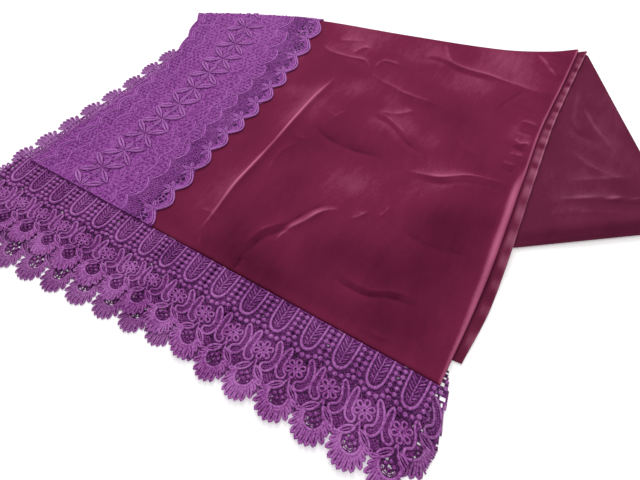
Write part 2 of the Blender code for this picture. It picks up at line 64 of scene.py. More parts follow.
# Edges and lines on the plan: rows of (Y, X), and (X, Y) for the far fold
TOP_RIGHT_EDGE = [(15, 543), (110, 542), (190, 537), (271, 530), (355, 523), (456, 522), (540, 520)]
LOWER_RIGHT_EDGE = [(44, 552), (107, 555), (179, 550), (280, 541), (384, 533), (540, 531)]
LEFT_EDGE = [(-10, 4), (57, 10), (125, 19), (210, 30), (268, 33), (318, 18), (370, 0)]
GALLOON_RIGHT = [(15, 200), (122, 201), (184, 206), (281, 205), (315, 201), (353, 197), (394, 189),
                 (430, 181)]
STAR_COLUMN = [(15, 86), (50, 89), (83, 94), (149, 98), (207, 102), (265, 101), (319, 95), (353, 85),
               (394, 70)]
PICOT_TIPS = [(-32, -28), (10, -33), (57, -25), (125, -15), (178, -5), (243, 1), (280, 6)]
FAR_FOLD = [(-40, 322), (0, 344), (60, 374), (160, 413), (300, 444), (430, 476), (490, 503),
            (530, 532)]
STAR_Y = (17, 50, 83, 118, 149, 180, 211, 244, 277, 312, 350, 393, 436)
STAR_ROWS = [(y, row) for row, y in enumerate(STAR_Y)]
UNDER_LEFT = (4, 338)
UNDER_NEAR = (310, 88)
UNDER_RIGHT = (695, 293)
UNDER_FAR = (534, 530)
MID_FOLD_ELBOW = (552, 187)

# Largest folds: start, middle and end in X and Y, height, half width
FOLDS = [
    (249, 338, 254, 200, 243, 42, 3.6, 8),
    (203, 381, 262, 354, 318, 340, 2.8, 12),
    (312, 344, 352, 334, 408, 336, 2.2, 12),
    (334, 414, 395, 416, 462, 414, 2.6, 12),
    (462, 414, 492, 416, 522, 418, 2.4, 11),
    (460, 354, 474, 386, 488, 412, 2.2, 11),
    (478, 492, 500, 474, 520, 450, 2.6, 12),
    (404, 220, 452, 228, 524, 258, 2.4, 11),
    (330, 284, 380, 262, 430, 250, 2.0, 13),
    (328, 66, 346, 110, 372, 140, 2.6, 10),
    (303, 44, 314, 78, 336, 100, 2.2, 11),
    (496, 355, 510, 356, 523, 356, 1.8, 8),
    (496, 312, 510, 318, 525, 328, 1.8, 8),
    (498, 290, 512, 294, 528, 300, 1.6, 8),
]

# Fine creases of the top layer: height, half width, painted light (painted highlight where positive,
# painted shade where negative), and places along it in X and Y
CREASES = [
    (1.7, 2.6, 1.75, [(257, 334), (256, 305), (254, 267), (253, 226), (253, 184), (252, 143),
                      (250, 101), (249, 67), (248, 32), (245, 19)]),
    (0.9, 2.6, 0.6, [(201, 377), (225, 363), (249, 363), (277, 370), (294, 350)]),
    (0.8, 2.8, 0.4, [(294, 350), (332, 339), (360, 334), (415, 336)]),
    (0.9, 2.6, 0.55, [(253, 374), (260, 394), (273, 396)]),
    (0.7, 3.5, 0.3, [(218, 391), (256, 408)]),
    (0.9, 2.6, 0.5, [(294, 357), (298, 381), (329, 384)]),
    (1.0, 2.6, 0.6, [(335, 415), (363, 422), (397, 415), (432, 417), (463, 419), (487, 415),
                     (515, 419)]),
    (-0.8, 4.0, -0.3, [(330, 408), (365, 414), (400, 408), (450, 410)]),
    (0.7, 4.0, 0.3, [(356, 457), (370, 432), (384, 415)]),
    (-0.9, 4.5, -0.35, [(463, 357), (473, 388), (487, 415)]),
    (1.0, 3.2, 0.6, [(473, 494), (491, 474), (515, 450)]),
    (0.9, 2.4, 0.45, [(496, 357), (508, 358), (520, 357)]),
    (-0.7, 2.8, -0.35, [(497, 341), (518, 342)]),
    (0.9, 2.6, 0.7, [(499, 329), (508, 320), (516, 324), (522, 319)]),
    (-0.8, 2.6, -0.4, [(500, 312), (520, 311)]),
    (0.8, 2.2, 0.5, [(501, 301), (520, 303)]),
    (0.7, 2.2, 0.4, [(497, 284), (518, 286)]),
    (-0.6, 2.6, -0.3, [(501, 276), (518, 274)]),
    (1.1, 2.4, 0.75, [(404, 219), (426, 222), (448, 228), (473, 246), (498, 252), (522, 256)]),
    (-0.8, 3.6, -0.3, [(416, 213), (450, 220), (476, 236), (516, 247)]),
    (-1.0, 4.5, -0.45, [(276, 240), (292, 226), (315, 219), (349, 219), (384, 227)]),
    (-0.9, 4.0, -0.4, [(329, 286), (345, 279), (366, 274), (394, 257), (429, 250)]),
    (0.6, 3.0, 0.3, [(331, 291), (366, 281), (396, 264)]),
    (0.8, 3.6, 0.35, [(335, 291), (360, 298), (380, 319)]),
    (1.3, 2.0, 0.9, [(330, 60), (337, 84), (346, 101), (357, 122), (375, 137)]),
    (-1.2, 3.4, -0.55, [(324, 64), (336, 98), (349, 124), (367, 140)]),
    (0.9, 2.4, 0.45, [(304, 39), (309, 60), (317, 76), (337, 96)]),
    (-1.0, 3.6, -0.45, [(311, 36), (317, 60), (326, 73), (344, 90)]),
    (0.7, 2.6, 0.5, [(384, 126), (393, 136), (401, 151)]),
    (0.5, 2.8, 0.35, [(411, 143), (415, 154), (418, 168)]),
    (0.6, 3.6, 0.3, [(274, 130), (266, 160), (268, 180), (278, 202)]),
    (0.6, 5.0, 0.3, [(291, 250), (301, 274)]),
    (-0.8, 3.4, -0.45, [(400, 64), (420, 60), (446, 61), (466, 70), (499, 75)]),
    (0.6, 3.0, 0.35, [(404, 71), (424, 67), (446, 68), (466, 78), (494, 82)]),
    (0.4, 3.2, 0.3, [(460, 31), (474, 29), (489, 33)]),
    (-0.8, 3.0, -0.45, [(310, 16), (311, 23), (309, 34)]),
    (0.6, 2.6, 0.4, [(263, 16), (258, 26), (250, 38)]),
    (0.3, 3.0, 0.25, [(230, 62), (246, 64), (262, 60)]),
    (0.3, 3.0, 0.25, [(258, 214), (272, 205), (290, 208)]),
    (0.4, 3.0, 0.25, [(436, 300), (455, 285), (478, 281)]),
    (-0.5, 5.0, -0.2, [(430, 150), (470, 140), (520, 150)]),
]

# Creases of the turned strip: height, half width, painted light (painted highlight where positive,
# painted shade where negative), and places along it in X and Y
UNDER_CREASES = [
    (0.8, 4.0, 0.35, [(548, 440), (575, 400), (612, 366)]),
    (0.5, 5.0, 0.15, [(538, 470), (548, 420), (560, 350)]),
    (0.6, 4.0, 0.3, [(560, 350), (590, 334), (640, 330)]),
    (0.8, 3.0, 0.85, [(560, 258), (590, 282), (630, 303), (668, 322)]),
    (0.5, 3.4, 0.25, [(556, 234), (590, 262), (650, 292)]),
    (0.5, 4.0, 0.3, [(570, 300), (600, 318), (640, 344)]),
    (-0.6, 5.0, -0.3, [(545, 400), (560, 380), (590, 376)]),
]

# Soft patches where the pile lies another way, shown as painted sheen and painted shade: X, Y, reach
# along X and Y, lighter or darker
PILE_SHEEN_AND_SHADE = [
    (366, 166, 17, 19, 0.1),
    (398, 138, 20, 16, 0.07),
    (500, 165, 60, 62, -0.3),
    (452, 118, 60, 40, -0.2),
    (330, 46, 70, 34, -0.25),
    (250, 280, 14, 60, 0.14),
    (240, 150, 12, 90, 0.1),
    (440, 235, 60, 22, 0.07),
    (340, 400, 130, 60, 0.11),
    (470, 460, 60, 50, 0.08),
    (300, 200, 36, 60, -0.15),
    (225, 120, 20, 80, 0.07),
    (470, 45, 60, 22, -0.12),
    (372, 285, 40, 20, 0.06),
    (290, 320, 30, 24, 0.1),
    (380, 28, 150, 15, -0.26),
    (490, 55, 60, 45, -0.24),
    (470, 175, 40, 36, -0.16),
    (420, 330, 60, 24, -0.12),
    (420, 90, 60, 30, -0.12),
]

# Middle of the part on the plan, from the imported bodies
MIDDLE_X = TRIM_CUT_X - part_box("guipure_trim_upper")[1].x / MM
MIDDLE_Y = HEM_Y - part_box("top_layer")[0].y / MM


# Plan and heights

def smooth(t):
    """Ease from 0 to 1 with level ends."""
    t = np.clip(t, 0.0, 1.0)
    return t * t * (3 - 2 * t)


def along(rows, s):
    """Value at s of a smooth curve through rows of (place, value)."""
    table = np.array(rows, float)
    place, value = table[:, 0], table[:, 1]
    s = np.asarray(s, float)
    last = len(place) - 1
    k = np.clip(np.searchsorted(place, s) - 1, 0, last - 1)
    before, after = np.maximum(k - 1, 0), np.minimum(k + 2, last)
    h = place[k + 1] - place[k]
    slope_a = (value[k + 1] - value[before]) / (place[k + 1] - place[before])
    slope_b = (value[after] - value[k]) / (place[after] - place[k])
    raw = (s - place[k]) / h
    t = np.clip(raw, 0, 1)
    curve = ((2 * t**3 - 3 * t**2 + 1) * value[k] + (t**3 - 2 * t**2 + t) * h * slope_a
             + (3 * t**2 - 2 * t**3) * value[k + 1] + (t**3 - t**2) * h * slope_b)
    return curve + np.minimum(raw, 0) * h * slope_a + np.maximum(raw - 1, 0) * h * slope_b


def mound(distance, half_width):
    """A rounded rise across a line, 1 on it and about a third at its half width."""
    return np.exp(-(distance / half_width)**2)


def far_fold(x):
    return along(FAR_FOLD, x)


def left_edge(y):
    return along(LEFT_EDGE, y)


def right_edge(y):
    return along(TOP_RIGHT_EDGE, y)


def picot_tips(y):
    return along(PICOT_TIPS, y)


def inside_of(a, b, x, y):
    """Distance of a point to the left of the line from a to b."""
    dx, dy = b[0] - a[0], b[1] - a[1]
    return (dx * (y - a[1]) - dy * (x - a[0])) / math.hypot(dx, dy)


def rest_height(x, y, bridge=0.0):
    """Height that the doubled strip below lifts a layer over a place."""
    slope, corner = 54.0, 22.0
    left = inside_of(UNDER_LEFT, UNDER_NEAR, x, y)
    near = inside_of(UNDER_NEAR, MID_FOLD_ELBOW, x, y)
    blend = np.maximum(corner - abs(left - near), 0) / corner
    depth = np.minimum(left, near) - blend * blend * corner / 4
    return (UNDER_HEIGHT + EASE) * smooth((depth + slope + 8 + bridge) / slope)


def line_distance(x, y, places, reach):
    """Which points lie within reach of a curve, their distance, share along it and lit side."""
    path = curve(places, 7.0)
    low, high = path.min(axis=0) - reach, path.max(axis=0) + reach
    near = (x > low[0]) & (x < high[0]) & (y > low[1]) & (y < high[1])
    px, py = x[near], y[near]
    steps = np.diff(path, axis=0)
    lengths = np.hypot(steps[:, 0], steps[:, 1])
    begins = np.concatenate([[0], np.cumsum(lengths)])
    away, share, lit = np.full(px.shape, 1e9), np.zeros(px.shape), np.zeros(px.shape)
    for (x0, y0), (dx, dy), length, begin in zip(path, steps, lengths, begins):
        t = np.clip(((px - x0) * dx + (py - y0) * dy) / length**2, 0, 1)
        off_x, off_y = px - x0 - t * dx, py - y0 - t * dy
        gap = np.hypot(off_x, off_y)
        share = np.where(gap < away, (begin + t * length) / begins[-1], share)
        lit = np.where(gap < away, TO_WINDOW[0] * off_x + TO_WINDOW[1] * off_y, lit)
        away = np.minimum(gap, away)
    return near, away, share, lit


def fold_lift(x, y):
    """Height of the largest folds over the top layer's plain surface."""
    lift = np.zeros_like(x)
    for x0, y0, xm, ym, x1, y1, height, half_width in FOLDS:
        reach = math.hypot(x1 - x0, y1 - y0)
        t = np.clip(((x - x0) * (x1 - x0) + (y - y0) * (y1 - y0)) / reach**2, 0, 1)
        bow = inside_of((x0, y0), (x1, y1), xm, ym)
        away = inside_of((x0, y0), (x1, y1), x, y) - 4 * t * (1 - t) * bow
        lift += height * mound(away, half_width) * smooth(4 * t) * smooth(4 * (1 - t))
    return lift * smooth((far_fold(x) - y) / 25)


def creases_at(x, y, rows):
    """Height and painted light of fine creases: a painted highlight along a crest (painted shade
    along a trough), paler towards the window and darker behind.
    """
    height, pile_and_painted_light = np.zeros_like(x), np.zeros_like(x)
    for rise, half_width, light, places in rows:
        near, away, share, lit = line_distance(x, y, places, 5 * half_width)
        uneven = 0.72 + 0.28 * np.sin(share * 17 + places[0][0]) * np.sin(share * 7 + places[0][1])
        fade = smooth(3.2 * share) * smooth(3.2 * (1 - share)) * uneven
        crest = mound(away, max(0.5 * half_width, 1.4))
        side = np.clip(lit / half_width, -1, 1) * mound(away, 2.6 * half_width)
        height[near] += rise * mound(away, half_width) * fade
        # Painted light: the crest lighter (darker for a trough), painted sheen on the side towards
        # the window, painted shade on the side away from it
        pile_and_painted_light[near] += (0.85 * light * crest + 0.36 * np.clip(light, -0.8, 0.8) * side) * fade
    return height, pile_and_painted_light


def patches_at(x, y):
    """Painted sheen and painted shade of the soft patches where the pile lies another way."""
    pile_and_painted_light = np.zeros_like(x)
    for px, py, rx, ry, amount in PILE_SHEEN_AND_SHADE:
        pile_and_painted_light += amount * mound(x - px, rx) * mound(y - py, ry)
    return pile_and_painted_light


def round_fold(x, y, radius, height):
    """Points at a height over the plan, turned round the far fold at a radius where past it."""
    past = y - far_fold(x)
    turn = np.clip(past * math.cos(FOLD_TURN) / BEND_CENTRE, 0, math.pi)
    out = radius * np.sin(turn)
    over = past > 0
    return np.stack([
        np.where(over, x - out * math.sin(FOLD_TURN), x),
        np.where(over, y - past + out * math.cos(FOLD_TURN), y),
        np.where(over, BEND_CENTRE + radius * np.cos(turn), height)], axis=-1)


def top_underside(x, y):
    """Height of the underside of the top layer."""
    return rest_height(x, y, BRIDGE) + PITCH + fold_lift(x, y)


def to_frame(points):
    """Points on the plan, in millimetres, as points of the frame, in metres."""
    return (np.asarray(points, float) - (MIDDLE_X, MIDDLE_Y, 0)) * MM


# Meshes

def placed(name, data):
    """An object of the scene that holds a mesh, a lamp or a lens."""
    made = bpy.data.objects.new(name, data)
    bpy.context.scene.collection.objects.link(made)
    return made


def new_piece(name, points, faces, material, marks):
    """A piece from points on the plan, with values for its material at each point."""
    mesh = bpy.data.meshes.new(name)
    mesh.from_pydata(to_frame(points).tolist(), [], faces)
    for label, values in marks.items():
        layer = mesh.attributes.new(label, "FLOAT", "POINT")
        layer.data.foreach_set("value", np.asarray(values, np.float32))
    mesh.materials.append(material)
    mesh.shade_smooth()
    piece = placed(name, mesh)
    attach(piece, "root")
    return piece


def shell(top, bottom, label, values):
    """Points, faces and marks of a cloth whose top and bottom grids meet at the rim."""
    coarse = 4  # cells of the top to each face of the underside
    rows, columns = top.shape[:2]
    count = rows * columns
    index = np.arange(count).reshape(rows, columns)
    a, b = index[:-1, :-1].ravel(), index[:-1, 1:].ravel()
    c, d = index[1:, 1:].ravel(), index[1:, :-1].ravel()
    faces = np.stack([a, b, c, d], axis=1).tolist()
    lines_up = sorted({*range(0, rows - 1, coarse), rows - 1})
    lines_across = sorted({*range(0, columns - 1, coarse), columns - 1})
    low = {}
    picked = []
    for i in lines_up:
        for j in lines_across:
            if i in (0, rows - 1) or j in (0, columns - 1):
                low[i, j] = int(index[i, j])
            else:
                low[i, j] = count + len(picked)
                picked.append((i, j))
    for i0, i1 in zip(lines_up, lines_up[1:]):
        for j0, j1 in zip(lines_across, lines_across[1:]):
            face = [low[i0, j0]]
            if j0 == 0:
                face += [int(index[i, 0]) for i in range(i0 + 1, i1)]
            face.append(low[i1, j0])
            if i1 == rows - 1:
                face += [int(index[i1, j]) for j in range(j0 + 1, j1)]
            face.append(low[i1, j1])
            if j1 == columns - 1:
                face += [int(index[i, j1]) for i in range(i1 - 1, i0, -1)]
            face.append(low[i0, j1])
            if i0 == 0:
                face += [int(index[0, j]) for j in range(j1 - 1, j0, -1)]
            faces.append(face)
    at = tuple(np.array(picked).T)
    points = np.concatenate([top.reshape(-1, 3), bottom[at]])
    return points, faces, {label: np.concatenate([values.ravel(), values[at]])}


def rim_roll(distance, radius):
    """Half thickness of a rolled edge at a distance from it."""
    inward = 1 - np.clip(distance / radius, 0, 1)
    return radius * np.sqrt(np.maximum(1 - inward * inward, 0))


def crowded(count, edge, reach):
    """Shares from 0 to 1 that crowd towards both ends, with edge steps inside reach of each."""
    ends = reach * (1 - np.cos(np.linspace(0, math.pi / 2, edge + 1)[:-1]))
    middle = np.linspace(reach, 1 - reach, count)
    return np.concatenate([ends, middle, 1 - ends[::-1]])


def tube_faces(rings, sides, capped):
    """Faces round rings of points, with a fan to a tip at each end where capped."""
    grid = np.arange(rings * sides).reshape(rings, sides)
    after = np.roll(grid, -1, axis=1)
    faces = [np.stack([grid[:-1], grid[1:], after[1:], after[:-1]], axis=-1).reshape(-1, 4)]
    if capped:
        tip = np.full(sides, rings * sides)
        faces += [np.stack([tip, grid[0], after[0], after[0]], axis=1),
                  np.stack([tip + 1, after[-1], grid[-1], grid[-1]], axis=1)]
    return np.concatenate(faces)


class Lacework:
    """Cords, beads and worked grounds of a lace, gathered in its own flat plan."""

    def __init__(self):
        self.points, self.faces, self.run, self.tone = [], [], [], []
        self.count = 0

    def add(self, points, faces, run, tone):
        self.points.append(points)
        self.faces.append(np.asarray(faces, int) + self.count)
        self.run.append(run)
        self.tone.append(np.full(len(points), tone))
        self.count += len(points)

    def cord(self, path, radius, lift, sides, flat, tone, ends=0.55):
        """A cord on a path of (p, q) at a lift, or of (p, q, height).

        The radius may be one for each point, flat is the share of it that the cord is high, and
        ends is what is left of it at both ends.
        """
        path = np.asarray(path, float)
        if path.shape[1] == 2:
            path = np.column_stack([path, np.full(len(path), lift)])
        n = len(path)
        radii = np.broadcast_to(np.asarray(radius, float), (n,)).copy()
        closed = np.allclose(path[0], path[-1])
        if not closed:
            radii[0] *= ends
            radii[-1] *= ends
        ahead = np.gradient(path, axis=0)
        if closed:
            ahead[0] = ahead[-1] = path[1] - path[-2]
        ahead[:, 2] = 0
        ahead /= np.maximum(np.linalg.norm(ahead, axis=1, keepdims=True), 1e-9)
        across = np.column_stack([-ahead[:, 1], ahead[:, 0], np.zeros(n)])
        angles = 2 * math.pi * np.arange(sides) / sides
        rings = (path[:, None, :]
                 + across[:, None, :] * (radii[:, None] * np.cos(angles))[:, :, None])
        rings[:, :, 2] += radii[:, None] * flat * np.sin(angles)
        step = np.linalg.norm(np.diff(path, axis=0), axis=1)
        travelled = np.concatenate([[0], np.cumsum(step)])
        points = rings.reshape(-1, 3)
        capped = not closed and sides > 4
        faces = tube_faces(n, sides, capped)
        if capped:
            tips = path[[0, -1]] + ahead[[0, -1]] * radii[[0, -1], None] * [[-0.6], [0.6]]
            points = np.concatenate([points, tips])
        elif not closed:
            flat_ends = [np.arange(sides), np.arange(n * sides - 1, n * sides - 1 - sides, -1)]
            faces = np.concatenate([faces, flat_ends])
        run = np.repeat(travelled, sides)
        if capped:
            run = np.concatenate([run, travelled[[0, -1]]])
        self.add(points, faces, run, tone)

    def bead(self, p, q, radius, lift, height, sides, rows, tone):
        """A bead of satin stitches, its height a share of its radius."""
        polar = np.linspace(0, math.pi, rows + 1)[1:-1]
        angles = 2 * math.pi * np.arange(sides) / sides
        ring = np.stack([
            p + radius * np.outer(np.sin(polar), np.cos(angles)),
            q + radius * np.outer(np.sin(polar), np.sin(angles)),
            lift + radius * height * np.outer(np.cos(polar), np.ones(sides))], axis=-1)
        points = np.concatenate([ring.reshape(-1, 3), [(p, q, lift + radius * height)],
                                 [(p, q, lift - radius * height)]])
        self.add(points, tube_faces(len(polar), sides, True), points[:, 0] - p, tone)

    def ground(self, keep, box, cell, tone):
        """A thin worked ground over the cells of a box whose middles keep(p, q) takes."""
        p0, p1, q0, q1 = box
        columns, rows = round((p1 - p0) / cell), round((q1 - q0) / cell)
        p, q = np.meshgrid(np.linspace(p0, p1, columns + 1), np.linspace(q0, q1, rows + 1))
        kept = keep((p[:-1, :-1] + p[1:, 1:]) / 2, (q[:-1, :-1] + q[1:, 1:]) / 2)
        flat = np.column_stack([p.ravel(), q.ravel()])
        count = len(flat)
        points = np.concatenate([np.column_stack([flat, np.full(count, height)])
                                 for height in (0.6, 0.15)])
        index = np.arange(count).reshape(rows + 1, columns + 1)
        a, b = index[:-1, :-1][kept], index[:-1, 1:][kept]
        c, d = index[1:, 1:][kept], index[1:, :-1][kept]
        top = np.stack([a, d, c, b], axis=1)
        faces = [top, top[:, ::-1] + count]
        edges = np.concatenate([top[:, [k, (k + 1) % 4]] for k in range(4)])
        key = edges[:, 0] * (2 * count) + edges[:, 1]
        back = edges[:, 1] * (2 * count) + edges[:, 0]
        rim = edges[~np.isin(key, back)]
        faces.append(np.stack([rim[:, 1], rim[:, 0], rim[:, 0] + count, rim[:, 1] + count], axis=1))
        self.add(points, np.concatenate(faces), np.zeros(2 * count), tone)

    def parts(self):
        """All points, faces, runs along the cords, and tones."""
        return (np.concatenate(self.points), np.concatenate(self.faces),
                np.concatenate(self.run), np.concatenate(self.tone))


def clean_faces(faces):
    """Faces as lists, with the doubled last corner of each triangle dropped."""
    return [face[:3] if face[2] == face[3] else face for face in faces.tolist()]


def curve(knots, step, closed=False):
    """Points about a step apart on a smooth curve through knots."""
    knots = np.array(knots, float)
    if closed:
        ring = np.vstack([knots[-1:], knots, knots[:2]])
    else:
        ring = np.vstack([2 * knots[0] - knots[1], knots, 2 * knots[-1] - knots[-2]])
    made = []
    for a, b, c, d in zip(ring, ring[1:], ring[2:], ring[3:]):
        n = max(1, round(float(np.linalg.norm(c - b)) / step))
        t = (np.arange(n) / n)[:, None]
        made.append(0.5 * (2 * b + (c - a) * t + (2 * a - 5 * b + 4 * c - d) * t * t
                           + (3 * b - a - 3 * c + d) * t**3))
    made.append(ring[-2][None, :] if not closed else knots[:1])
    return np.concatenate(made)


def arc(p, q, radius_p, radius_q, start, end, step):
    """Points on an arc, its angles in degrees."""
    length = abs(math.radians(end - start)) * (radius_p + radius_q) / 2
    a = np.radians(np.linspace(start, end, max(4, round(length / step)) + 1))
    made = np.column_stack([p + radius_p * np.cos(a), q + radius_q * np.sin(a)])
    if abs(end - start) >= 360:
        made[-1] = made[0]
    return made


def spindle(length, width, steps, peak):
    """Places and half widths along a leaf or petal, widest at peak."""
    t = np.linspace(0, 1, steps + 1)
    bent = t**(math.log(0.5) / math.log(peak))
    return t * length, width / 2 * np.sin(math.pi * bent)**0.75


def turned(points, origin, angle):
    """Points turned by an angle in degrees and moved to an origin."""
    c, s = math.cos(math.radians(angle)), math.sin(math.radians(angle))
    points = np.asarray(points, float)
    made = points.copy()
    made[:, 0] = origin[0] + points[:, 0] * c - points[:, 1] * s
    made[:, 1] = origin[1] + points[:, 0] * s + points[:, 1] * c
    return made


def beside(run, off, origin, angle):
    """A line along a leaf or petal, its points off to one side of its middle."""
    return turned(np.column_stack([run, np.broadcast_to(off, run.shape)]), origin, angle)


def worked_leaf(lace, origin, angle, length, fine):
    """A leaf: a worked body with a cord round it and a rib down its middle."""
    run, half = spindle(length, 5.6, 8, 0.5)
    lace.cord(beside(run, 0.0, origin, angle), np.maximum(half * 0.9, 0.2), 0.65, 4, 0.22, 0.2)
    for side in (1, -1):
        lace.cord(beside(run, side * half, origin, angle), 1.15, 1.15, fine, 0.9, 0.75)
    lace.cord(beside(run[1:-1], 0.0, origin, angle), 0.6, 1.1, 4, 0.9, 0.7)


def used_only(points, faces, run, tone):
    """Points that faces use, the faces renumbered, and the points' own values."""
    used = np.unique(faces)
    renumber = np.zeros(len(points), int)
    renumber[used] = np.arange(len(used))
    return points[used], renumber[faces], run[used], tone[used]


def lace_piece(name, parts, keep, lay, material):
    """A piece from the parts of a lace that keep(x, y) takes, its points laid by lay(x, y, h)."""
    points, faces, run, tone = parts
    kept = keep(points[:, 0], points[:, 1])
    points, faces, run, tone = used_only(points, faces[kept[faces].all(axis=1)], run, tone)
    return new_piece(name, lay(*points.T), clean_faces(faces), material,
                     {"run": run, "tone": tone})


# Materials

def linear(code):
    """Linear colour of an sRGB hex value."""
    made = []
    for k in (0, 2, 4):
        value = int(code[k:k + 2], 16) / 255
        made.append(value / 12.92 if value <= 0.04045 else ((value + 0.055) / 1.055)**2.4)
    return (*made, 1.0)


def node(material, kind, settings=None, links=None):
    """Adds a node with its settings, and links its inputs from (node, output)."""
    tree = material.node_tree
    made = tree.nodes.new(kind)
    for label, value in (settings or {}).items():
        if label.startswith("."):
            setattr(made, label[1:], value)
        else:
            made.inputs[int(label) if label.isdigit() else label].default_value = value
    for label, (source, output) in (links or {}).items():
        target = made.inputs[int(label) if label.isdigit() else label]
        tree.links.new(source.outputs[output], target)
    return made


def shaded(name, values):
    """A material whose shader has these values, and the shader."""
    material = bpy.data.materials.new(name)
    material.use_nodes = True
    shader = material.node_tree.nodes["Principled BSDF"]
    for label, value in values.items():
        shader.inputs[label].default_value = value
    return material, shader


def cloth(name, roughness, specular, sheen, sheen_roughness, sheen_tint):
    """A cloth's material, its shader, and where its patterns are measured from."""
    material, shader = shaded(name, {
        "Roughness": roughness, "Metallic": 0.0, "IOR": 1.5, "Specular IOR Level": specular,
        "Sheen Weight": sheen, "Sheen Roughness": sheen_roughness, "Sheen Tint": linear(sheen_tint)})
    return material, shader, (node(material, "ShaderNodeTexCoord"), "Object")


def mark(material, label):
    """A value that the mesh holds at each point."""
    return node(material, "ShaderNodeAttribute", {".attribute_name": label}), "Fac"


def noise(material, place, scale, detail, roughness=0.5):
    """A pattern from 0 to 1 with a number of lumps to the metre."""
    settings = {"Scale": scale, "Detail": detail, "Roughness": roughness}
    return node(material, "ShaderNodeTexNoise", settings, {"Vector": place}), "Fac"


def reckon(material, operation, *terms):
    """A sum or the like, whose terms are numbers or (node, output)."""
    settings, links = {".operation": operation}, {}
    for k, term in enumerate(terms):
        (links if isinstance(term, tuple) else settings)[str(k)] = term
    return node(material, "ShaderNodeMath", settings, links), 0


def swing(material, pattern, amount, middle=0.0):
    """A pattern of 0 to 1 as a swing of an amount about a middle."""
    return reckon(material, "MULTIPLY_ADD", pattern, amount, middle - amount / 2)


def spread(material, value, low, high, to_low, to_high):
    """A value from between low and high, spread from to_low to to_high."""
    settings = {"From Min": low, "From Max": high, "To Min": to_low, "To Max": to_high}
    return node(material, "ShaderNodeMapRange", settings, {"Value": value}), "Result"


def finish_cloth(material, shader, tone, colours, places, height, strength, depth):
    """Colours a cloth by three colours at their places of its tone, and raises its threads."""
    ramp = node(material, "ShaderNodeValToRGB", {}, {"Fac": tone})
    stops = ramp.color_ramp.elements
    stops[0].position, stops[0].color = places[0], linear(colours[0])
    stops[1].position, stops[1].color = places[2], linear(colours[2])
    stops.new(places[1]).color = linear(colours[1])
    bump = node(material, "ShaderNodeBump", {"Strength": strength, "Distance": depth},
                {"Height": height})
    links = material.node_tree.links
    links.new(ramp.outputs["Color"], shader.inputs["Base Color"])
    links.new(bump.outputs["Normal"], shader.inputs["Normal"])
    return material


def silk_velvet(name, *colours):
    """Silk pile velvet: deep and soft, paler wherever the pile was pressed or turns to the light."""
    material, shader, place = cloth(name, 0.9, 0.05, 0.08, 0.4, "e0506c")
    # Stroked pile lies in areas of about 75 mm, with streaks of about 9 mm in them
    areas = noise(material, place, 13.0, 1.5, 0.45)
    stretch = node(material, "ShaderNodeMapping",
                   {"Scale": (1.0, 0.35, 1.0), "Rotation": (0, 0, 0.4)}, {"Vector": place})
    streaks = noise(material, (stretch, "Vector"), 110.0, 4.0, 0.6)
    # Tufts of the pile stand about 0.5 mm apart, drawn at 1.6 mm so that they show
    pile = noise(material, place, 620.0, 2.0)
    lie = reckon(material, "ADD", swing(material, areas, 0.8, -0.01), swing(material, streaks, 0.28))
    rubbed = reckon(material, "ADD", lie, swing(material, pile, 0.24))
    # The mark adds the pressed pile together with its painted highlights, painted sheen and painted
    # shade
    total = reckon(material, "ADD", rubbed, mark(material, "pile_and_painted_light"))
    return finish_cloth(material, shader, spread(material, total, -1.0, 1.2, 0.0, 1.0), colours,
                        (0.12, 0.48, 0.92), pile, 0.25, 0.0006)


def rayon_cord(name, *colours):
    """Rayon guipure: satin-stitched cords, their tone a painted highlight where they stand high and
    painted shade where they sink in, with the threads' catch of the light painted as a faint sheen
    across each stitch.
    """
    material, shader, place = cloth(name, 0.6, 0.15, 0.06, 0.3, "dcb4ea")
    # Satin stitches lie 0.4 mm apart across each cord, drawn at 0.8 mm so that they show
    turns = reckon(material, "MULTIPLY", mark(material, "run"), 2 * math.pi / 0.8)
    wave = reckon(material, "SINE", turns)
    # Threads bunch every 2 mm, and the dye varies over about 30 mm
    uneven = noise(material, place, 520.0, 3.0)
    dyed = noise(material, place, 30.0, 2.0)
    stitch = reckon(material, "MULTIPLY_ADD", wave, 0.07, mark(material, "tone"))
    rough = reckon(material, "ADD", stitch, swing(material, uneven, 1.3))
    total = reckon(material, "ADD", rough, swing(material, dyed, 0.5))
    height = reckon(material, "MULTIPLY_ADD", wave, 0.5, uneven)
    return finish_cloth(material, shader, total, colours, (0.05, 0.5, 0.95), height, 0.45, 0.0004)


def rayon_ground(name, *colours):
    """The galloon's worked ground: close knots, and an open net of bars where the mesh shows."""
    material, shader, place = cloth(name, 0.65, 0.15, 0.06, 0.3, "dcb4ea")
    # Knots of the worked ground are 2.6 mm apart, and holes of the open mesh 5 mm
    cells = node(material, "ShaderNodeTexVoronoi", {"Scale": 380.0}, {"Vector": place})
    net = node(material, "ShaderNodeTexVoronoi", {".feature": "DISTANCE_TO_EDGE", "Scale": 200.0},
               {"Vector": place})
    shade = node(material, "ShaderNodeMix", {}, {
        "0": mark(material, "mesh"),
        "2": spread(material, (cells, "Distance"), 0.1, 0.75, 1.12, 0.42),
        "3": spread(material, (net, "Distance"), 0.05, 0.2, 0.9, -0.15)})
    # Single threads are about 1 mm apart, and the dye varies over about 25 mm
    threads = noise(material, place, 900.0, 3.0)
    dyed = noise(material, place, 40.0, 2.0)
    rough = reckon(material, "ADD", (shade, 0), swing(material, threads, 0.6))
    total = reckon(material, "ADD", rough, swing(material, dyed, 0.3))
    return finish_cloth(material, shader, total, colours, (0.05, 0.45, 0.95), total, 0.6, 0.0008)


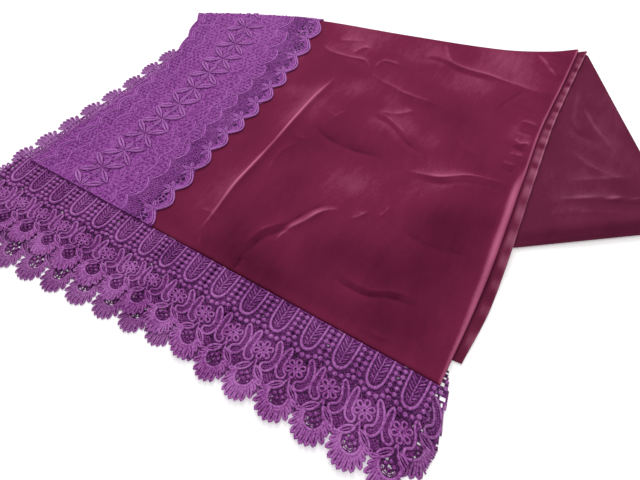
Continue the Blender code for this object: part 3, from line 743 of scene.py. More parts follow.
# The second panel and the turned strip are darker copies of the same velvet, and the lower lace a
# copy of the upper one with a darker lightest stop: painted shade
velvet_top = silk_velvet("silk_velvet_top", "440c24", "762345", "ca6e94")
velvet_second_shaded = silk_velvet("silk_velvet_second_shaded", "400c22", "6c2440", "b46a88")
velvet_under_shaded = silk_velvet("silk_velvet_under_shaded", "440c24", "682440", "a86080")
guipure_cord = rayon_cord("rayon_guipure_cord", "3c0640", "8a3a8c", "c078c4")
guipure_low_cord_shaded = rayon_cord("rayon_guipure_low_cord_shaded", "3c0a40", "8a408c", "b878bc")
galloon_cord = rayon_cord("rayon_galloon_cord", "480c50", "8c3c94", "bc74c4")
galloon_ground = rayon_ground("rayon_galloon_ground", "30083a", "7c2a84", "a058a8")
edging_cord = rayon_cord("rayon_edging_cord", "581c60", "984e9e", "c486ca")


# Velvet

def panel_grid(across, up, turns):
    """Shares across and up a panel, and how far its points run past the far fold."""
    bend = np.linspace(0, math.pi, turns + 1)[1:]
    past = np.concatenate([np.zeros(len(up)), bend * BEND_CENTRE / math.cos(FOLD_TURN)])
    s, t = np.meshgrid(across, np.concatenate([up, np.ones(turns)]))
    return s, t, np.repeat(past[:, None], len(across), axis=1)


def make_top_layer():
    """The panel that shows, from its hem to the far fold, where it turns under."""
    rim = 0.006         # share of the width that the closer lines at each side take
    plain_to = 0.33     # the galloon covers the velvet up to here, so its lines are wider apart
    sides = crowded(20, 5, rim)
    across = np.concatenate([sides[:5], np.linspace(rim, plain_to, 20)[:-1],
                             np.linspace(plain_to, 1 - rim, 240), sides[-5:]])
    s, t, past = panel_grid(across, crowded(290, 5, 0.005), 14)
    y = np.full_like(s, HEM_Y)
    for _ in range(3):
        left = left_edge(y)
        x = left + (right_edge(y) - left) * s
        y = HEM_Y + (far_fold(x) - HEM_Y) * t

    radius = LAYER / 2
    width = right_edge(y) - left_edge(y)
    from_left, from_right = s * width, (1 - s) * width
    half = rim_roll(np.minimum(np.minimum(from_left, from_right), y - HEM_Y), radius)
    half[-1] = 0.0

    height, pile_and_painted_light = creases_at(x, y, CREASES)
    height *= smooth((far_fold(x) - y) / 12)
    pile_and_painted_light += patches_at(x, y)
    # The right edge is a thick roll near the hem with a painted highlight on it, and a thin painted
    # highlight line beyond the middle
    roll_share = smooth((300 - y) / 60) * smooth((y - 18) / 30) * (0.5 + 0.5 * smooth((y - 60) / 120))
    band = 1.7 + 2.5 * smooth((300 - y) / 50) * smooth((y - 20) / 180)
    roll = mound(from_right - band - 0.6, band) * roll_share
    height += 0.7 * roll
    pile_and_painted_light += 0.9 * roll * smooth((from_right - 0.2) / 0.6)
    pile_and_painted_light += 0.65 * mound(from_right - 1.0, 1.6) * (1 - roll_share)
    # Small tucks beside the far part of that edge
    tucks = smooth((from_right - 2) / 6) * mound(from_right - 22, 16) * smooth((y - 270) / 30)
    height += 0.35 * tucks * np.sin(y / 3.1 + np.sin(y / 19) * 2.2)
    # The stitching along the hem draws the velvet in, with painted shade along it
    height -= 0.25 * mound(y - HEM_Y - 2.2, 1.0)
    pile_and_painted_light -= 0.5 * mound(y - HEM_Y, 2.0)

    mid = top_underside(x, np.minimum(y, far_fold(x))) + radius
    under = mid - half + np.minimum(height, 0) * 0.5
    top = round_fold(x, y + past, BEND_CENTRE - radius + half, mid + half + height)
    bottom = round_fold(x, y + past, BEND_CENTRE - radius - half, under)
    points, faces, marks = shell(top, bottom, "pile_and_painted_light", pile_and_painted_light)
    piece = new_piece("velvet_top_panel", points, faces, velvet_top, marks)
    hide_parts("top_layer")
    return piece


def make_second_layer():
    """The panel below, which shows as a rippled strip along the right edge."""
    inset = 5.0         # its left edge lies this far outside the top panel's
    hidden = 0.9        # share of the lines across it that lie below the top panel
    across = np.concatenate([np.linspace(0, hidden, 30)[:-1],
                             1 - (1 - hidden) * (1 - crowded(20, 5, 0.08))])
    s, t, past = panel_grid(across, crowded(230, 4, 0.006), 12)

    def hem_at(x):
        return LOWER_HEM_START[1] + (x - LOWER_HEM_START[0]) * math.tan(LOWER_HEM_TURN)

    def place(s, y):
        left, cover = left_edge(y) - inset, right_edge(y) - 1
        inner = left + (cover - left) * s / hidden
        outer = cover + (along(LOWER_RIGHT_EDGE, y) - cover) * (s - hidden) / (1 - hidden)
        return np.where(s <= hidden, inner, outer)

    x = place(s, np.full_like(s, HEM_Y))
    for _ in range(3):
        y = hem_at(x) + (far_fold(x) - hem_at(x)) * t
        x = place(s, y)
    radius = LAYER / 2
    from_right = along(LOWER_RIGHT_EDGE, y) - x
    from_left = x - left_edge(y) + inset
    half = rim_roll(np.minimum(np.minimum(from_left, from_right), y - hem_at(x)), radius)
    half[-1] = 0.0
    # Ripples along the strip that shows, longer near the hem and shorter near the far fold
    from_cover = x - right_edge(y)
    rippled = smooth(from_cover / 6) * smooth((far_fold(x) - y) / 40)
    near_ripple = np.sin(2 * math.pi * (y + 4 * np.sin(y / 23)) / 31.0)
    far_ripple = np.sin(2 * math.pi * y / 17.0 + 1.0) * smooth((y - 270) / 60)
    height = (0.45 + 0.45 * near_ripple + 0.5 * far_ripple) * rippled
    # Darker near the hem and lighter towards the far fold, with painted highlight on the ripples'
    # crests and along the right edge, and painted shadow where the top panel's edge covers it
    pile_and_painted_light = -0.2 + 0.36 * smooth((y - 110) / 150) + 0.4 * height * smooth(from_cover / 6)
    pile_and_painted_light += 0.6 * mound(from_right - 0.8, 1.1) * (0.3 + 0.7 * smooth((y - 250) / 60))
    pile_and_painted_light -= 0.25 * mound(from_cover - 0.5, 1.4)
    mid = rest_height(x, np.minimum(y, far_fold(x))) + radius
    inner_centre = BEND_CENTRE - PITCH - radius - 0.25
    top = round_fold(x, y + past, inner_centre + half * 0.8, mid + half + height)
    bottom = round_fold(x, y + past, inner_centre - half * 0.8, mid - half + height * 0.3)
    points, faces, marks = shell(top, bottom, "pile_and_painted_light", pile_and_painted_light)
    piece = new_piece("velvet_second_panel", points, faces, velvet_second_shaded, marks)
    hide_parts("second_layer")
    return piece


def make_under_fold():
    """The doubled strip, whose soft mid fold and layered edge show on the right."""
    far_gap = 2.0
    split = 0.62        # share of the near side up to its elbow
    shown_from = 0.55   # the part that shows has closer lines
    across = np.concatenate([np.linspace(0, shown_from, 24)[:-1],
                             shown_from + (1 - shown_from) * crowded(110, 4, 0.01)[4:]])
    s, t = np.meshgrid(across, crowded(80, 5, 0.02))
    near_side = np.array([UNDER_NEAR, MID_FOLD_ELBOW, UNDER_RIGHT], float).T
    near_x, near_y = (np.interp(s, [0, split, 1], row) for row in near_side)
    far_x = UNDER_LEFT[0] + (UNDER_FAR[0] - UNDER_LEFT[0]) * s
    far_y = far_fold(far_x) - far_gap
    x = near_x + (far_x - near_x) * t
    y = near_y + (far_y - near_y) * t

    from_fold = inside_of(MID_FOLD_ELBOW, UNDER_RIGHT, x, y)
    from_edge = -inside_of(UNDER_FAR, UNDER_RIGHT, x, y)
    roll = 4.2 * mound(from_fold - 11, 13)
    valley = mound(from_fold - 34, 9)
    crease = mound(from_edge - 20, 8) * smooth((from_fold - 30) / 60)
    height, pile_and_painted_light = creases_at(x, y, UNDER_CREASES)
    height += smooth((x - 560) / 50) * (roll - valley + crease)
    # Painted shade along the soft mid fold's roll, slightly lighter away from it
    pile_and_painted_light += 0.1 * smooth((from_fold - 40) / 80) - 0.4 * mound(from_fold - 8, 9)
    edge_left = s * np.hypot(far_x - UNDER_LEFT[0], 300)
    edge = np.minimum(np.minimum(t * 300, (1 - t) * 300), np.minimum(from_edge, edge_left))
    radius = UNDER_HEIGHT / 2
    half = rim_roll(np.maximum(edge, 0), radius)
    half[[0, -1]] = 0.0
    half[:, [0, -1]] = 0.0
    top = np.stack([x, y, radius + half + height * half / radius], axis=-1)
    bottom = np.stack([x, y, radius - half], axis=-1)
    points, faces, marks = shell(top, bottom, "pile_and_painted_light", pile_and_painted_light)
    piece = new_piece("velvet_turned_strip", points, faces, velvet_under_shaded, marks)
    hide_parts("under_fold")
    return piece


# Hem trim. P runs along the hem from an oval's middle, Q from the velvet to the tips.

FAN_P, FAN_Q = 2.6, 82.4    # middle of a fan's ring
FLOWER = (3.2, 53.0)        # middle of a flower

# How finely a trim is drawn: sides of its bold cords, length of their parts, veins and nets too
FULL_DETAIL = (6, 1.5, True)
PLAIN_DETAIL = (4, 2.0, False)

# Gaps that go right through the trim: P, Q and radius
TRIM_GAPS = [
    (17.6, 7.3, 1.6), (17.6, 13.1, 1.6), (17.6, 18.9, 1.6), (17.6, 24.7, 1.6), (17.6, 31.6, 2.1),
    (14.0, 35.8, 1.4), (21.2, 36.4, 1.6), (18.4, 37.4, 1.8), (20.4, 42.4, 1.4), (-5.0, 42.4, 1.4),
    (9.6, 42.4, 1.3), (-1.0, 43.2, 1.3), (7.0, 66.6, 1.3), (0.4, 66.8, 1.3), (22.2, 69.2, 1.7),
    (20.6, 72.6, 1.6), (24.6, 72.8, 1.6), (13.6, 73.0, 1.4), (-6.0, 72.6, 1.4), (3.2, 73.6, 1.3),
    (-1.4, 77.4, 1.2), (7.2, 77.4, 1.2), (2.6, 82.2, 1.6), (-2.4, 84.8, 1.4), (7.6, 84.8, 1.4),
    (0.4, 87.6, 1.6), (4.9, 87.6, 1.6), (17.8, 77.8, 1.3),
]


def past_nearest(p, place):
    """How far p is past the nearest repeat of a place."""
    return (p - place + REPEAT / 2) % REPEAT - REPEAT / 2


def trim_bars_and_shade(p, q):
    """Where the hem trim gets its dark ground of bars and painted shade, apart from its gaps."""
    out = abs(past_nearest(p, FAN_P))
    kept = (q < 79.5 - 0.05 * out) | (np.hypot(out, q - FAN_Q) < 10.5)
    for gap_p, gap_q, radius in TRIM_GAPS:
        kept &= np.hypot(past_nearest(p, gap_p), q - gap_q) > radius
    return kept


def lattice(lace, inside, cell, box):
    """Net of crossing bars over the part of a box where inside(p, q) holds."""
    p0, p1, q0, q1 = box
    for lean in (1, -1):
        for k in range(int((p1 - p0 + q1 - q0) / cell) + 2):
            start = p0 + k * cell - (q1 - q0 if lean > 0 else 0)
            run = []
            for step in range(int((q1 - q0) / (cell / 2)) + 2):
                q = q0 + step * cell / 2
                p = start + lean * (q - q0)
                if q <= q1 and p0 <= p <= p1 and inside(p, q):
                    run.append((p, q, 0.8 + 0.12 * lean))
                    continue
                if len(run) > 1:
                    lace.cord(run, 0.6, None, 4, 0.85, 0.45)
                run = []


def worked_oval(lace, fine, step, veins):
    """The long oval under the hem: a bold cord, a stem and slanting veins like a feather's."""
    rim = curve([(-9.2, 0.6), (-9.2, 8), (-8.9, 16), (-7.9, 24), (-4.8, 30.0), (0, 31.9), (4.8, 30.0),
                 (7.9, 24), (8.9, 16), (9.2, 8), (9.2, 0.6)], step)
    width = 1.3 + 0.5 * mound(rim[:, 1] - 33, 5.0)
    lace.cord(rim, width, 1.2, fine, 0.95, 0.75, ends=1.0)
    if not veins:
        return
    stem = curve([(0, 1.0), (0.3, 8), (-0.2, 16), (0.1, 23), (0, 28.6)], 2.6)
    lace.cord(stem, 0.9, 1.05, 4, 1.0, 0.65)
    for k in range(7):
        q = 6.4 + 3.5 * k
        reach = 1 - 0.12 * max(k - 3, 0)
        for side in (-1, 1):
            rise = (5.2 if k < 4 else 3.4) + 0.7 * math.sin(2.3 * k + side)
            stroke = curve([(side * 0.9, q), (side * 3.6 * reach, q - rise * 0.42),
                            (side * 6.9 * reach, q - rise)], 2.4)
            lace.cord(stroke, np.linspace(0.85, 1.15, len(stroke)), 1.0, 4, 0.9, 0.55 + 0.1 * (k % 2))
    for side in (-1, 1):
        lace.bead(side * 2.4, 27.8, 0.9, 0.9, 0.9, 5, 3, 0.5)


def ring_flower(lace, fine, step):
    """A flower of six looped petals round a ring."""
    lace.cord(arc(*FLOWER, 1.9, 1.9, 0, 360, step), 0.85, 1.2, fine, 0.9, 0.75)
    petal = [(3.0, -0.4), (4.8, -1.75), (6.9, -2.4), (8.7, -1.6), (9.3, 0), (8.7, 1.6), (6.9, 2.4),
             (4.8, 1.75), (3.0, 0.4)]
    for k in range(6):
        ring = turned(curve(petal, step, closed=True), FLOWER, 90 + 60 * k)
        lace.cord(ring, 1.2, 1.15 + 0.12 * (k % 2), fine, 0.9, 0.72)


# Comma scrolls to the left and right of a flower: the outline, and the line down its middle
LEFT_SCROLL = (
    [(-9.6, 38.0), (-7.4, 41.5), (-7.0, 47), (-7.0, 53), (-6.6, 58), (-4.8, 60.6), (-2.4, 62.0),
     (-1.6, 64.6), (-3.2, 67.6), (-6.6, 68.0), (-10.0, 65.6), (-12.2, 60.5), (-12.8, 54), (-12.6, 47),
     (-11.6, 41)],
    [(-9.6, 41.5), (-9.9, 48), (-9.9, 55), (-8.8, 61), (-5.0, 64.6)])
RIGHT_SCROLL = (
    [(12.6, 37.6), (16.0, 40.4), (19.4, 46.0), (21.4, 52.5), (21.6, 59), (19.6, 65), (16.0, 69.0),
     (12.0, 69.6), (9.4, 67.4), (9.4, 63.8), (12.0, 61.8), (14.6, 60.2), (15.6, 56.0), (14.8, 50.0),
     (12.6, 45.0), (11.2, 40.6)],
    [(13.4, 41.0), (16.2, 46.6), (18.2, 53), (18.2, 60), (16.0, 64.6), (12.4, 66.0)])


def scroll(lace, shape, fine, step):
    """A comma scroll: a worked band inside a cord, with two rows of stitches."""
    outline, spine = shape
    lace.cord(curve(outline, step, closed=True), 1.3, 1.2, fine, 0.95, 0.75)
    line = curve(spine, 2.0)
    lace.cord(line, 2.4, 0.5, 6, 0.2, 0.3, ends=0.8)
    ahead = np.gradient(line, axis=0)
    ahead /= np.linalg.norm(ahead, axis=1, keepdims=True)
    for side in (-1, 1):
        row = line + np.column_stack([-ahead[:, 1], ahead[:, 0]]) * side * 1.05
        for p, q in row:
            lace.bead(p, q, 0.8, 0.9, 0.7, 4, 3, 0.6)


def petal_loop(lace, root, tip, half, fine, step):
    """One petal of the fan: two satin sides that meet at the tip, over a low dark middle of painted
    shade.
    """
    length = math.hypot(tip[0] - root[0], tip[1] - root[1])
    angle = math.degrees(math.atan2(tip[1] - root[1], tip[0] - root[0]))
    loop = curve([(0, -0.5 * half), (0.45 * length, -0.85 * half), (0.76 * length, -half),
                  (0.92 * length, -0.75 * half), (length + 0.4, 0), (0.92 * length, 0.75 * half),
                  (0.76 * length, half), (0.45 * length, 0.85 * half), (0, 0.5 * half)], step)
    lace.cord(turned(loop, root, angle), 1.25, 1.05, fine, 0.9, 0.7)
    # A dark flat cord down the middle: painted shade
    lace.cord(np.linspace(root, tip, 3), half, 0.3, 4, 0.2, -0.3)


# Petals of the fan from its ring's middle: root, tip and half width, each drawn on both sides
FAN_PETALS = [
    ((0.0, 9.8), (0.0, 22.6), 1.5), ((4.1, 8.9), (5.0, 21.4), 1.5), ((7.2, 6.9), (10.2, 18.9), 1.5),
    ((9.0, 4.0), (15.4, 13.2), 1.5), ((9.8, 0.6), (15.4, 6.2), 1.3), ((9.6, -2.6), (16.8, -0.4), 1.3),
]


def fan(lace, fine, step):
    """The scalloped fan: a half ring with looped petals all round, and beads and bars inside."""
    lace.cord(arc(FAN_P, FAN_Q, 9.2, 9.4, -14, 194, step), 1.5, 1.2, fine, 0.9, 0.75)
    lace.cord(arc(FAN_P, FAN_Q - 0.5, 6.2, 6.2, 10, 170, step), 0.6, 0.9, 4, 0.9, 0.4)
    for root, tip, half in FAN_PETALS:
        for side in (1, -1):
            if side > 0 or tip[0] > 0:
                petal_loop(lace, (FAN_P + side * root[0], FAN_Q + root[1]),
                           (FAN_P + side * tip[0], FAN_Q + tip[1]), half, fine, step)
    for p, q, radius in ((0.0, -4.4, 1.9), (-3.8, -1.4, 1.8), (3.8, -1.4, 1.8), (-5.6, 2.4, 1.2),
                         (5.6, 2.4, 1.2), (0.0, 1.6, 1.2)):
        lace.bead(FAN_P + p, FAN_Q + q, radius, 1.0, 0.75, 7, 4, 0.6)
    for angle in (50, 90, 130):
        end = turned([(6.8, 0)], (FAN_P, FAN_Q), angle)[0]
        lace.cord([(FAN_P, FAN_Q + 1.0), end], 0.55, 0.9, 4, 0.9, 0.4)


def hem_repeat(fine, step, full):
    """One repeat of the hem trim, from its ovals and bead columns to its scroll, leaf and fan."""
    lace = Lacework()
    # A dark ground sheet: partly the trim's bars, partly painted shade between its motifs
    lace.ground(trim_bars_and_shade, (-REPEAT / 2, REPEAT / 2, 0.4, 92.4), 1.15 if full else 1.75, tone=0.16)
    worked_oval(lace, fine, step, full)
    rows = [4.4 + 5.8 * k for k in range(5)]
    for column in (14.1, 21.0):
        lace.cord([(column, 0.5), (column, 14), (column, 30)], 0.85, 0.75, 4, 1, 0.5)
        for q in rows:
            lace.bead(column, q, 2.35, 1.05, 0.75, 8, 4, 0.72)
    for k, q in enumerate(rows):
        lace.cord([(9.2 - 0.3 * k, q), (17.5, q + 0.2), (25.8 + 0.3 * k, q)], 0.85, 0.75, 4, 1, 0.5)
    necklace = [(-17.4, 32.6), (-9.6, 32.9), (-4.6, 36.6), (1.0, 38.2), (7.0, 37.2), (12.6, 33.6)]
    for p, q in necklace:
        lace.bead(p, q, 2.6, 1.05, 0.75, 8, 4, 0.72)
    lace.cord(curve([*necklace, (17.6, 32.6)], 4.0), 0.8, 0.75, 4, 1, 0.45)
    ring_flower(lace, fine, step)
    scroll(lace, LEFT_SCROLL, fine, step)
    scroll(lace, RIGHT_SCROLL, fine, step)
    worked_leaf(lace, (1.6, 69.0), 137, 16.5, fine)
    worked_leaf(lace, (5.2, 69.0), 37, 17.0, fine)
    for side in (-1, 1):
        outer = curve([(FAN_P + side * 4.6, 75.6), (FAN_P + side * 10.0, 80.2),
                       (FAN_P + side * 15.0, 80.4), (FAN_P + side * 17.4, 77.4)], 2.0)
        lace.cord(outer, 0.9, 0.95, 4, 0.9, 0.6)
        stem = curve([(3.2, 62.6), (3.2 + side * 1.0, 66.0), (3.2 + side * 2.4, 69.4)], 1.8)
        lace.cord(stem, 0.95, 1.0, fine, 0.9, 0.7)
    fan(lace, fine, step)
    if full:
        lattice(lace, lambda p, q: abs(p - 18.2) < 3.4 - 0.24 * abs(q - 36), 3.2,
                (13.0, 25.0, 30.0, 43.0))
        lattice(lace, lambda p, q: abs(p - 21.0) < 1.0 + 0.75 * (q - 67), 3.4,
                (12.0, 30.0, 67.0, 77.5))
        for k in range(6):
            p, q = turned([(9.2, 0)], FLOWER, 60 * k + 60)[0]
            lace.bead(p, q, 1.1, 0.85, 0.8, 6, 3, 0.5)
    return lace.parts()


# How each trim lies: how far it was eased along the hem, its tips lean right and it runs short
UPPER_LIE = (
    [(-35, 4.0), (0, 4.5), (35, 2.5), (70, 1.8), (105, 1.8), (140, 2.5), (175, 3.5), (210, 2.5),
     (245, -3.0), (280, -3.5), (315, -2.5), (350, -1.0), (385, 0.0), (540, 0.5)],
    [(-35, 0), (400, 0), (420, 1), (455, 3), (490, 6), (545, 7)],
    [(-35, 4), (35, 9), (80, 12), (290, 12), (325, 6), (350, 2), (400, 0), (545, 0)])
LOWER_LIE = (
    [(-35, 10), (540, 10)],
    [(-35, 0), (420, 0), (500, 6), (560, 17)],
    [(-35, -4), (540, -4)])


def laid_wave(p, q, lie, seed):
    """How far easing, leaning and small waves move the trim along P and Q, and lift it."""
    ease, lean, short = (along(rows, p) for rows in lie)
    phase = seed * 1.7
    loose = smooth((q - 30) / 50)
    along_hem = ease + loose * (1.1 * np.sin(p / 47 + phase) + 0.7 * np.sin(p / 19 + 2 * phase))
    along_hem += smooth((q - 20) / 80) * lean
    outward = loose * (1.2 * np.sin(p / 61 + 1 + phase) + 0.8 * np.sin(p / 27 + phase))
    outward -= smooth((q - 28) / 76) * short
    lift = 0.9 * loose * (0.5 + 0.5 * np.sin(p / 13 + phase) * np.sin(q / 17 + phase))
    return np.column_stack([along_hem, outward, lift])


def make_hem_trim(name, repeats, lie, keep, start, turn, base, detail, seed, material):
    """Some repeats of the hem trim, laid along a hem from its start."""
    points, faces, run, tone = hem_repeat(*detail)
    trim = Lacework()
    for n in repeats:
        trim.add(points + (n * REPEAT, 0, 0), faces, run, tone + 0.05 * math.sin(n * 2.3 + seed))
    points, faces, run, tone = trim.parts()
    points += laid_wave(points[:, 0], points[:, 1], lie, seed)

    def lay(p, q, h):
        x = start[0] + p * math.cos(turn) + q * math.sin(turn)
        y = start[1] + p * math.sin(turn) - q * math.cos(turn)
        return np.column_stack([x, y, np.maximum(rest_height(x, y) + base(q) + h, 0.05)])

    return lace_piece(name, (points, faces, run, tone), keep, lay, material)


def upper_trim_part(name, repeats, keep):
    """A part of the upper trim, which sinks by 0.7 mm past the hem."""
    return make_hem_trim(name, repeats, UPPER_LIE, keep, (0.0, HEM_Y), 0.0,
                         lambda q: PITCH - 0.7 * smooth((q - 22) / 22), FULL_DETAIL, 1.0,
                         guipure_cord)


def make_upper_trim():
    """The trim on the top panel's hem, in two parts, and its bound top against the velvet."""
    piece = upper_trim_part("guipure_hem_lace_left", range(-1, 8),
                            lambda p, q: p > FAN_P - REPEAT / 2 - 6)
    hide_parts("guipure_trim_upper")
    upper_trim_part("guipure_hem_lace_right", range(8, REPEATS),
                    lambda p, q: p < 543.5 - 1.5 * np.sin(q / 6.0) + 0.06 * q)
    heading = Lacework()
    begin = -20.0
    p = np.arange(begin, TRIM_CUT_X, 2.4)
    heading.cord(np.column_stack([p, np.full(len(p), 0.9)]), 0.8, 0.9, 6, 0.9, 0.35)
    for stitch in np.arange(begin, int(TRIM_CUT_X)):
        heading.cord([(stitch, 0.1, 1.3), (stitch + 0.5, 2.0, 1.4)], 0.32, None, 4, 1, 0.45)

    def lay(p, q, h):
        return np.column_stack([p, HEM_Y - q, h + rest_height(p, HEM_Y - q) + PITCH])

    lace_piece("guipure_hem_heading", heading.parts(), lambda p, q: p > begin - 1, lay, guipure_cord)


def make_lower_trim():
    """The same trim on the second panel's hem, which lies on the table and is drawn coarser."""
    inset = REPEAT / 2 - FAN_P
    start = (LOWER_HEM_START[0] + inset * math.cos(LOWER_HEM_TURN),
             LOWER_HEM_START[1] + inset * math.sin(LOWER_HEM_TURN))

    def keep(p, q):
        end = 553.5 - 1.2 * np.sin(q / 7.0) + 0.2 * np.minimum(q, 62)
        return (p > FAN_P - REPEAT / 2 - 1) & (p < end)

    piece = make_hem_trim("guipure_under_lace", range(-1, REPEATS + 1), LOWER_LIE, keep, start,
                          LOWER_HEM_TURN, lambda q: 0.0, PLAIN_DETAIL, 2.6, guipure_low_cord_shaded)
    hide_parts("guipure_trim_lower")


# Galloon

def galloon_edge(y, side):
    """Scalloped edge of the galloon on one side (1 right, -1 left)."""
    bow = abs(np.cos(math.pi * along(STAR_ROWS, y)))
    if side > 0:
        return along(GALLOON_RIGHT, y) - 11.0 * (1 - bow)
    return left_edge(y) - 3.0 - 4.5 * bow


def on_galloon(x, y, height):
    """Places over the top layer where the galloon lies, drooping past the left edge."""
    far = far_fold(x)
    inner_y = np.minimum(y, far - 1)
    edge = left_edge(inner_y)
    droop = 2.4 * smooth((edge - x) / 12) * smooth((far - y - 4) / 30)
    base = top_underside(np.maximum(x, edge + 3), inner_y) + LAYER + 0.5 - droop
    return round_fold(x, y, BEND_CENTRE + 0.5 + height, base + height)


def star_places():
    """Middles of the galloon's stars, with the spacing of their rows."""
    middles = list(enumerate(STAR_Y))
    for row, y in middles:
        spacing = along(middles, row + 0.5) - along(middles, row - 0.5)
        yield float(along(STAR_COLUMN, y)), float(y), float(spacing)


def make_galloon_ground():
    """The galloon's net: a thin sheet from the hem to just over the far fold."""
    over_fold = 9.6
    start = HEM_Y - 0.4
    s, t = np.meshgrid(crowded(120, 3, 0.006), crowded(220, 2, 0.004))
    y = np.full_like(s, 200.0)
    for _ in range(6):
        left, right = galloon_edge(y, -1), galloon_edge(y, 1)
        x = left + (right - left) * s
        y = start + (far_fold(x) + over_fold - start) * t
    # The net is open between a bowed line two repeats from the stars and the scalloped border
    row = along(STAR_ROWS, y)
    bow = (2 * (row - np.round(row)))**2
    reach = (x - along(STAR_COLUMN, y)) / REPEAT
    open_band = smooth((reach - 2.0 + 0.25 * bow) / 0.12)
    open_band *= smooth((galloon_edge(y, 1) - 8 - x) / 4)
    rim = (s == 0) | (s == 1) | (t == 0) | (t == 1)
    top = on_galloon(x, y, np.where(rim, 0.35, 0.75 + 0.25 * np.sin(math.pi * np.clip(s, 0, 1))))
    bottom = on_galloon(x, y, np.zeros_like(x))
    points, faces, marks = shell(top, bottom, "mesh", open_band)
    piece = new_piece("galloon_ground", points, faces, galloon_ground, marks)
    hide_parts("star_galloon")
    return piece


def satin_petal(lace, origin, angle, length, width, lift, peak=0.5):
    """A petal of two satin halves with a groove between them, over a low dark rim of painted shade
    round it.
    """
    run, half = spindle(length, width, 9, peak)
    # A wider dark flat cord under the halves: painted shade round the petal
    lace.cord(beside(run, 0.0, origin, angle), half + 0.9, lift - 0.62, 4, 0.1, 0.14)
    for side in (1, -1):
        line = beside(run, side * half * 0.56, origin, angle)
        lace.cord(line, np.maximum(half * 0.47, 0.3), lift, 6, 0.85, 0.85)


def dot_in_painted_shade(lace, p, q, radius, tone=0.75):
    """A raised dot, with painted shade drawn in dark round it on the ground."""
    # A flat dark disc under the dot: painted shade
    lace.bead(p, q, radius + 0.75, 0.76, 0.1, 6, 3, 0.15)
    lace.bead(p, q, radius, 0.95, 0.7, 6, 3, tone)


def galloon_star(stars, cx, cy, k):
    """A star of six petals with dark flat discs of painted shade and dots between them, k times its
    usual height.
    """
    for side in (1, -1):
        if cy + side * 17 * k > HEM_Y + 2:
            satin_petal(stars, (cx, cy + side * 1.2), 90 * side, 16.6 * k, 5.2, 1.35)
    for angle in (34, 146, 214, 326):
        if cy + 20 * math.sin(math.radians(angle)) > HEM_Y + 1:
            root = turned([(1.6, 0)], (cx, cy), angle)[0]
            satin_petal(stars, root, angle, 26.2, 7.6, 1.4, 0.58)
    for side in (1, -1):
        for up in (1, -1):
            for p, q in ((7.6, 9.6), (4.6, 14.0), (11.0, 1.0)):
                # Dark flat discs beside the petals: painted shade
                stars.bead(cx + side * p, cy + up * q * k, 1.4, 0.8, 0.12, 6, 3, -0.1)
            dot_in_painted_shade(stars, cx + side * 11.5, cy + up * 13.5 * k, 1.3)
        dot_in_painted_shade(stars, cx + side * 15.0, cy, 1.3)


# Scalloped lines along the galloon: X from the stars at a row's middle and between rows, and radius
SCALLOPED_LINES = [(50.0, 44.0, 0.8), (68.5, 60.0, 0.95), (-50.5, -43.5, 0.8), (-70.0, -61.0, 0.85),
                   (-73.6, -64.0, 0.8)]


def galloon_borders(lines, cx, cy, pitch):
    """The scalloped lines of one row, its cords along both edges, and the leaf spray between rows."""
    t = np.linspace(-0.5, 0.5, 17)
    y = cy + t * pitch
    for peak, valley, radius in SCALLOPED_LINES:
        bow = np.column_stack([cx + peak + (valley - peak) * (2 * t)**2, y])
        lines.cord(bow, radius, 1.0, 6, 0.9, 0.85)
    right, left = galloon_edge(y, 1), galloon_edge(y, -1)
    for offset, radius, lift in ((0.9, 1.2, 1.05), (4.0, 0.85, 1.0)):
        lines.cord(np.column_stack([right - offset, y]), radius, lift, 6, 0.9, 0.9)
        lines.cord(np.column_stack([left + offset * 0.8, y]), radius * 0.8, lift, 6, 0.9, 0.7)
    # A low dark cord between the two border cords: painted shade
    lines.cord(np.column_stack([right - 2.5, y]), 0.6, 0.6, 4, 0.2, -0.2)
    valley_y = cy + pitch / 2
    valley_x = float(galloon_edge(valley_y, 1)) - 3.5
    satin_petal(lines, (valley_x, valley_y), 180, 13.0, 5.0, 1.0)
    for side in (1, -1):
        satin_petal(lines, (valley_x, valley_y + 1.5 * side), 124 * side, 11.0, 4.2, 0.95)


def galloon_dots(lines, cx, cy, pitch):
    """The dots between the scalloped lines of one row, and the rings near the left edge."""
    for row in range(-3, 3):
        q = (row + 0.5) * pitch / 6
        y = cy + q
        shift = 2.8 * (row % 2)
        bow = 8.5 * (2 * q / pitch)**2
        outer = np.arange(54.0, 67.0, 5.6) + shift
        for p in outer - 3.0:
            if 52.5 - 0.7 * bow < p < 66.5 - bow:
                dot_in_painted_shade(lines, cx + p, y, 1.2)
        for p in np.arange(30.0, 48.0, 7.2) + shift:
            if p < 47 - 0.7 * bow:
                dot_in_painted_shade(lines, cx + p, y, 1.1, 0.65)
                dot_in_painted_shade(lines, cx - p, y, 1.1, 0.65)
        for p in outer - 1.5:
            if p < 67 - bow:
                dot_in_painted_shade(lines, cx - p, y, 1.15)
        if row % 2:
            lines.cord(arc(cx - 80.0 + 0.4 * bow, y, 2.3, 2.3, 0, 360, 1.4), 0.7, 1.0, 5, 0.9, 0.75)


def galloon_net(lines, cx, cy, pitch):
    """The crossing threads and light knots of the open band in one row."""
    ahead = np.linspace(0, 1, 6)
    for row in range(-6, 6):
        middle = (row + 0.5) * pitch / 12
        for lean in (1, -1):
            q0 = middle - lean * 4.0
            inner = cx + 70.5 - 8.5 * (2 * q0 / pitch)**2
            x = inner + (cx + 91.0 - inner) * ahead
            y = cy + q0 + lean * 8.0 * ahead + 1.2 * np.sin(5 * ahead)
            lines.cord(np.column_stack([x, y]), 0.5, 0.9, 4, 0.9, 0.6)
        for step in range(4):
            q = middle + (step % 2) * 1.4
            x = cx + 74.5 + 4.4 * step - 4.0 * (2 * q / pitch)**2
            lines.bead(x, cy + q, 1.05, 0.9, 0.6, 5, 3, 0.5)


